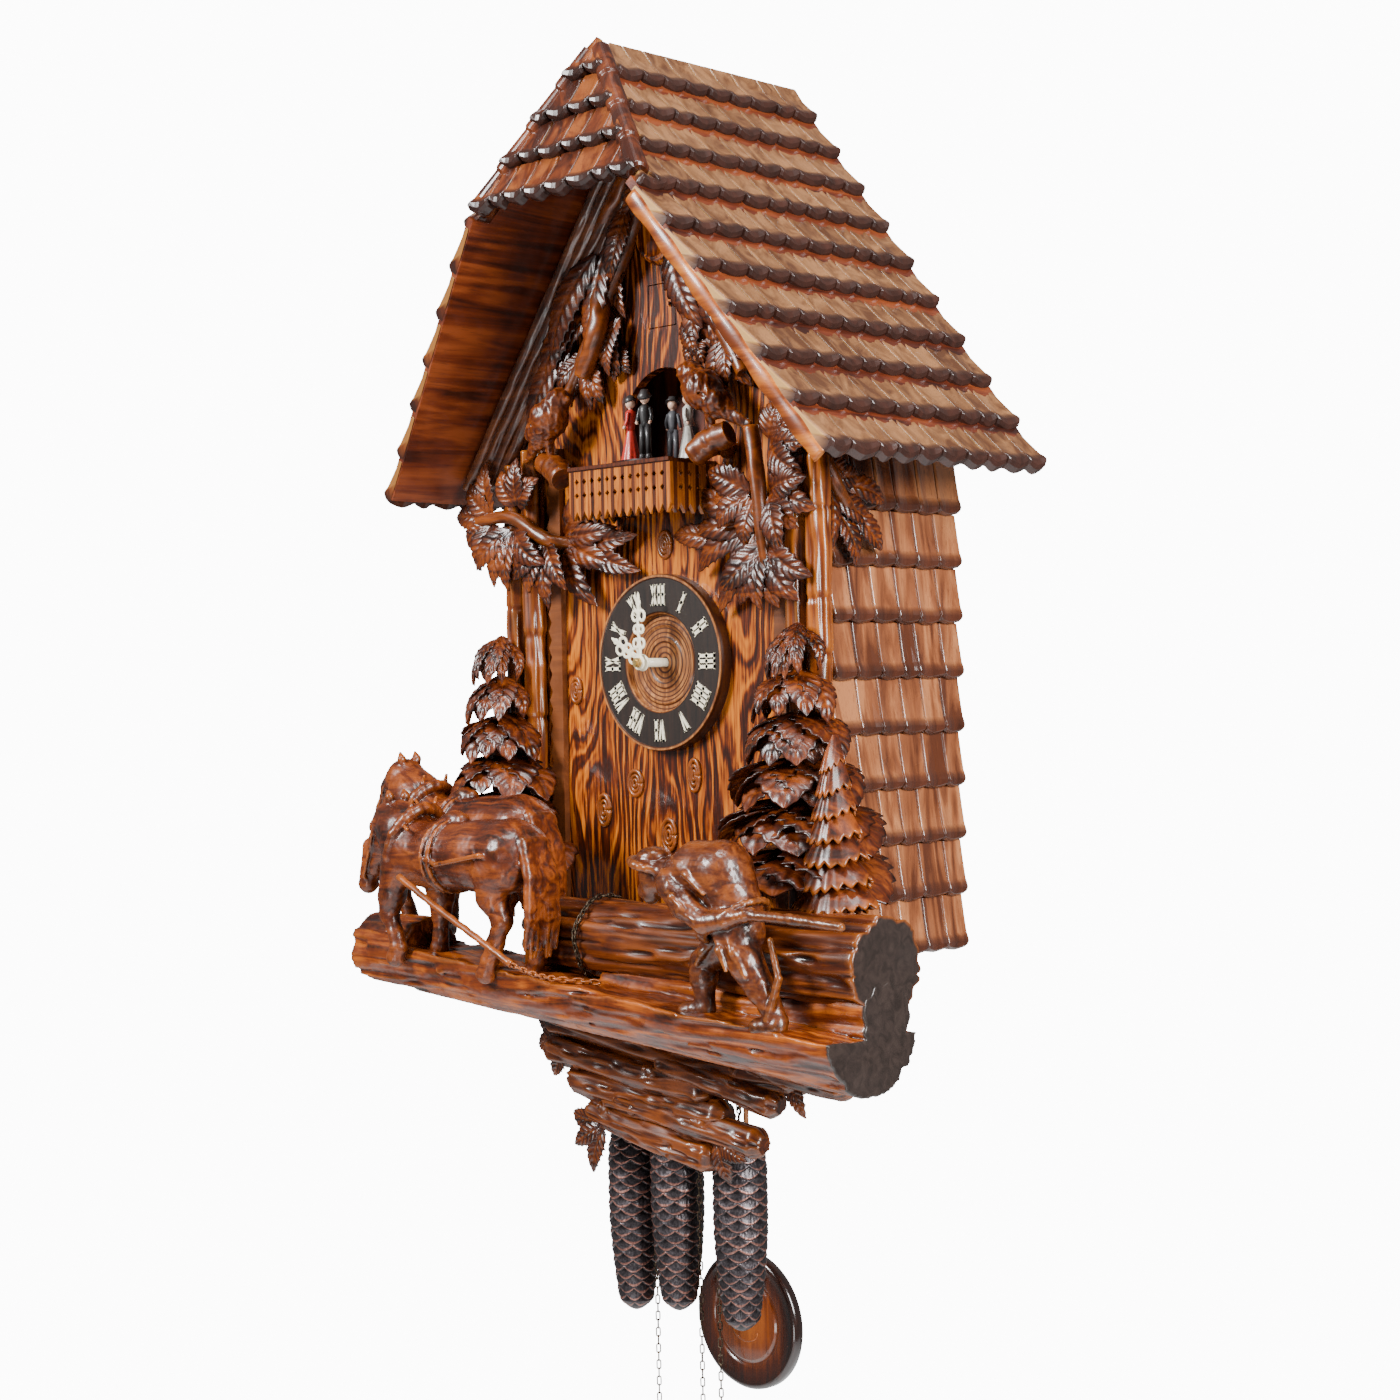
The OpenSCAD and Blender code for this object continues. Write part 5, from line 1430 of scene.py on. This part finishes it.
def build_dancers(materials):
    """Four small painted figures in two pairs."""
    skin, hair, cloths = materials
    lo, hi = box_mm("dancers")
    centre = np.array([DIAL_X, -186.0, lo[2]])
    bags = {"skin": Bag(), "hair": Bag(), 0: Bag(), 1: Bag(), 2: Bag(), 3: Bag()}
    height = hi[2] - lo[2]
    for k in range(4):
        turn = math.radians(k * 90 + 20)
        spot = centre + (28 * math.cos(turn), 28 * math.sin(turn), 0)
        side = np.array([-math.sin(turn), math.cos(turn), 0])

        def up(f, a=0.0, b=0.0, spot=spot, side=side, turn=turn):
            return spot + side * a + np.array([math.cos(turn), math.sin(turn), 0]) * b + (0, 0, f * height)
        cloth = bags[k]
        if k % 2 == 0:
            cloth.tube([up(f) for f in np.linspace(0, 0.5, 14)], np.linspace(9.2, 3.4, 14), 36, 1.0,
                       lambda along, a: 1 + 0.08 * (1 - along) * np.sin(9 * a))
        else:
            for s in (-1, 1):
                cloth.tube([up(0.08, s * 3.1), up(0.3, s * 3.0), up(0.5, s * 2.2)], [2.3, 2.6, 3.0], 14)
                bags["hair"].tube([up(0.0, s * 3.1), up(0.06, s * 3.1), up(0.1, s * 3.1)], [3.0, 2.6, 2.0],
                                  14)
        cloth.tube([up(f) for f in (0.46, 0.55, 0.66, 0.74, 0.78)], [3.5, 3.9, 4.9, 4.6, 2.0], 20)
        for s in (-1, 1):
            cloth.tube(smooth_path([up(0.73, s * 4.6), up(0.62, s * 6.4), up(0.54, s * 6.6, 2.0)], 9), 1.7,
                       12)
            bags["skin"].tube([up(0.54, s * 6.6, 2.0), up(0.51, s * 6.2, 3.4), up(0.50, s * 6.0, 4.2)],
                              [1.3, 1.5, 0.8], 10)
        steps = np.linspace(-1, 1, 14)
        bags["skin"].tube([up(0.86 + 0.072 * t) for t in steps],
                          4.4 * np.sqrt(np.clip(1 - steps ** 2, 0.05, 1)), 20)
        bags["skin"].tube([up(0.77), up(0.79), up(0.81)], [1.9, 1.8, 2.0], 12)
        bags["hair"].tube([up(0.885, 0, -0.6), up(0.90), up(0.925), up(0.94), up(0.985)],
                          [6.4, 6.6, 4.9, 4.4, 3.2] if k % 2 else [4.9, 5.0, 4.9, 4.4, 2.0], 20)
    bags["skin"].make("dancer_faces", skin, "stage", "dancers")
    bags["hair"].make("dancer_hats", hair, "stage")
    for k in range(4):
        bags[k].make(f"dancer_clothes_{k}", cloths[k], "stage")


def build_cuckoo(material):
    """Cuckoo on its slide."""
    lo, hi = box_mm("cuckoo_bird")
    clay = Clay(lo - 2, hi + 3, 0.8)
    clay.limb([(0, -150, -89), (0, -140, -92), (0, -130, -96)], [6.6, 6.4, 4.6], blend=3)
    clay.limb([(0, -131, -96), (0, -110, -101)], [3.6, 1.4], blend=2, thin=(1.3, 1, 0.7))
    clay.bone((0, -158, -80), (0, -159, -79.5), 5.0, blend=3)
    clay.limb([(0, -163, -79.5), (0, -171, -81)], [1.9, 0.6], blend=1)
    for s in (-1, 1):
        clay.limb([(s * 5.4, -148, -88), (s * 5.0, -128, -97)], [4.2, 1.4], blend=1.2, thin=(0.5, 1, 1))
        clay.bone((s * 4.4, -160.5, -78.4), (s * 4.6, -160.7, -78.4), 1.0, blend=0.4)
    clay.bone((0, -130, -103), (0, -130, -96), 1.7, blend=0.8)
    bag = Bag()
    bag.add(*clay.mesh(rough=0.25, grain=(4, 4, 4)))
    bag.prism([(-5, -107.7), (5, -107.7), (5, -104), (-5, -104)], -134, -90)
    bag.make("cuckoo_carved", material, "cuckoo", "cuckoo_bird")


# ---- put together ----

KNOTS = ((-121, -423), (-86, -532), (-44, -507), (31, -499), (-1, -296), (-2, -552))


def build_panel_knots(material):
    """Oval bark rings around the knots of the burnt panel."""
    bag = Bag()
    for k, (x, z) in enumerate(KNOTS):
        wide, tall = 6.5 + k % 3, 11.0 + 2.5 * (k % 2)
        turn = np.linspace(0, TURN, 30)
        for scale, out, wire in ((1.0, 0.6, 2.3), (0.62, 0.8, 1.7), (0.28, 0.9, 1.8)):
            oval = [on_front(x + wide * scale * math.cos(a), z + tall * scale * math.sin(a), out)
                    for a in turn]
            bag.tube(oval, wire, 10, 0.8)
    bag.make("panel_knots", material)


def build_all():
    """Every material and piece, in the order that the random draws need."""
    dark_red = ((0.014, 0.003, 0.002), (0.050, 0.009, 0.004), (0.11, 0.022, 0.007))
    case = wood("case_stain", *dark_red, rough=0.34, coat=0.35)
    soffit = wood("roof_underside", (0.02, 0.004, 0.002), (0.075, 0.013, 0.004), (0.15, 0.032, 0.008), "y",
                  rough=0.34,
                  coat=0.4)
    roof = wood("roof_shingle_stain", (0.060, 0.022, 0.009), (0.125, 0.052, 0.020), (0.20, 0.090, 0.036),
                "x", 0.8,
                0.38, 0.25, tint=0.14, marked=(0.032, 0.010, 0.006), grooved=(0.36, 0.19, 0.05))
    roof_red = wood("roof_red_stain", (0.022, 0.004, 0.0012), (0.076, 0.015, 0.003), (0.16, 0.042, 0.008),
                    "z", 0.8,
                    0.32, 0.22, tint=0.2, marked=(0.024, 0.006, 0.003), grooved=(0.22, 0.09, 0.02))
    wall = wood("wall_shingle_stain", (0.060, 0.016, 0.006), (0.170, 0.052, 0.018), (0.31, 0.115, 0.042),
                "z", 0.8,
                0.28, 0.45, tint=0.18, marked=(0.060, 0.016, 0.007), grooved=(0.020, 0.006, 0.003))
    verge = wood("verge_stain", (0.09, 0.017, 0.002), (0.22, 0.050, 0.005), (0.36, 0.11, 0.012), "x",
                 rough=0.36, coat=0.25)
    panel = zebra("panel_burnt_wood", [(DIAL_X + x, HOOK_Z + z) for x, z in KNOTS])
    post = wood("post_stain", (0.024, 0.004, 0.001), (0.12, 0.022, 0.002), (0.30, 0.075, 0.006), "z", 1.0,
                0.3, 0.3,
                rub=(0.46, 0.15, 0.016))
    rail = rail_boards()
    ripple = wood("ripple_stain", (0.016, 0.004, 0.002), (0.055, 0.013, 0.004), (0.12, 0.034, 0.009), "x",
                  1.0, 0.36,
                  0.25, rub=(0.20, 0.06, 0.014))
    carved = wood("carving_stain", (0.012, 0.0018, 0.0004), (0.058, 0.0088, 0.0008), (0.16, 0.032, 0.0020),
                  "x", 1.3,
                  0.37, 0.14, rub=(0.38, 0.095, 0.006), marked=(0.15, 0.045, 0.012))
    log_stain = wood("log_stain", (0.018, 0.0026, 0.0006), (0.115, 0.0185, 0.001), (0.31, 0.070, 0.003), "x",
                     1.4, 0.34,
                     0.20, rub=(0.42, 0.115, 0.008), marked=(0.026, 0.017, 0.014))
    bark_stain = wood("bark_stain", (0.011, 0.0017, 0.0005), (0.046, 0.0076, 0.0009), (0.13, 0.028, 0.0026),
                      "x", 1.4,
                      0.34, 0.25, rub=(0.30, 0.078, 0.006), marked=(0.026, 0.017, 0.014))
    pale = wood("bellows_wood", (0.42, 0.26, 0.12), (0.58, 0.40, 0.21), (0.70, 0.53, 0.32), "z", 1.0, 0.5,
                0.1)
    door = wood("back_door_wood", (0.14, 0.05, 0.02), (0.26, 0.11, 0.04), (0.38, 0.18, 0.07), "z", 0.7, 0.45,
                0.15)
    rod = wood("rod_stain", (0.09, 0.03, 0.012), (0.20, 0.075, 0.026), (0.33, 0.14, 0.05), "z", 1.0, 0.35,
               0.4)
    brass = metal("brushed_brass", (0.55, 0.36, 0.12), (0.80, 0.58, 0.26), 0.24)
    steel = metal("plain_steel", (0.38, 0.37, 0.36), (0.62, 0.61, 0.59), 0.3)
    chain_metal = metal("antique_chain", (0.022, 0.016, 0.012), (0.10, 0.072, 0.048), 0.4, 600.0)
    ivory = paint("ivory_colour", (0.80, 0.73, 0.55), 0.4)

    for node in ("back_frame", "side_wall_left", "side_wall_right", "bottom_board", "niche_box",
                 "balcony_floor",
                 "carousel"):
        dress(node, case)
    dress("roof_boards", soffit)
    dress("back_door", door)
    dress("front_panel", panel)
    build_gable_beams(ripple)
    dress("corner_ripples", ripple, 0.8)
    dress("balcony_rail", rail, 0.5)
    dress("dial_ring", dial_finish(), 0)
    dress("cuckoo_door", panel, 0.8)
    for node in ("movement_plates", "center_arbor", "wheel_left", "wheel_mid", "wheel_right",
                 "music_cylinder"):
        dress(node, brass, 0.2)
    for node in ("gong", "gong_hammer", "music_works", "anchor"):
        dress(node, steel, 0.2)
    for node in ("bellows_bodies", "bellows_lid_left", "bellows_lid_right"):
        dress(node, pale, 0.5)
    dress("pendulum_rod", rod, 0.3)

    build_roof(roof, roof_red, verge)
    build_hip(roof_red)
    build_wall_shingles(wall)
    build_posts(post)
    build_panel_knots(carved)
    build_numerals(ivory)
    build_hand("minute_hand", 62.0, 0.0, ivory, "minute", 4.2)
    build_hand("hour_hand", 46.0, 60.0, ivory, "hour", 4.4)
    cone = cone_iron()
    for side in ("left", "mid", "right"):
        build_weight(side, cone, chain_metal)
        build_tail(side, chain_metal)
    build_bob(sunburst(), carved)
    boss = build_foliage(carved)
    boss.make("gable_boss", zebra("boss_burnt_wood", ((0, HOOK_Z - 14),)))
    build_song_birds(carved)
    build_pines(carved)
    build_log_base(log_stain)
    build_hauled_log(bark_stain, chain_metal)
    build_branch_pile(bark_stain)
    build_horse("horse_near", (-206, -313, -566), 34.0, 1.12, carved)
    build_horse("horse_far", (-262, -256, -549), 4.0, 1.25, carved)
    build_harness(carved)
    build_logger(wood("logger_stain", (0.014, 0.0024, 0.0007), (0.052, 0.0095, 0.0015), (0.13, 0.030, 0.004),
                      "x", 1.3, 0.34,
                      0.25, rub=(0.36, 0.11, 0.014)))
    cloths = [paint("cloth_white", (0.78, 0.74, 0.66)), paint("cloth_grey", (0.10, 0.10, 0.11)),
              paint("cloth_red", (0.50, 0.03, 0.02)), paint("cloth_black", (0.025, 0.024, 0.024))]
    build_dancers((paint("face_paint", (0.72, 0.45, 0.32)), paint("hat_paint", (0.035, 0.03, 0.03)), cloths))
    build_cuckoo(wood("cuckoo_stain", (0.10, 0.045, 0.02), (0.26, 0.13, 0.06), (0.45, 0.26, 0.13), "y", 2.0,
                      0.4, 0.3))


build_camera()
build_studio()
build_all()
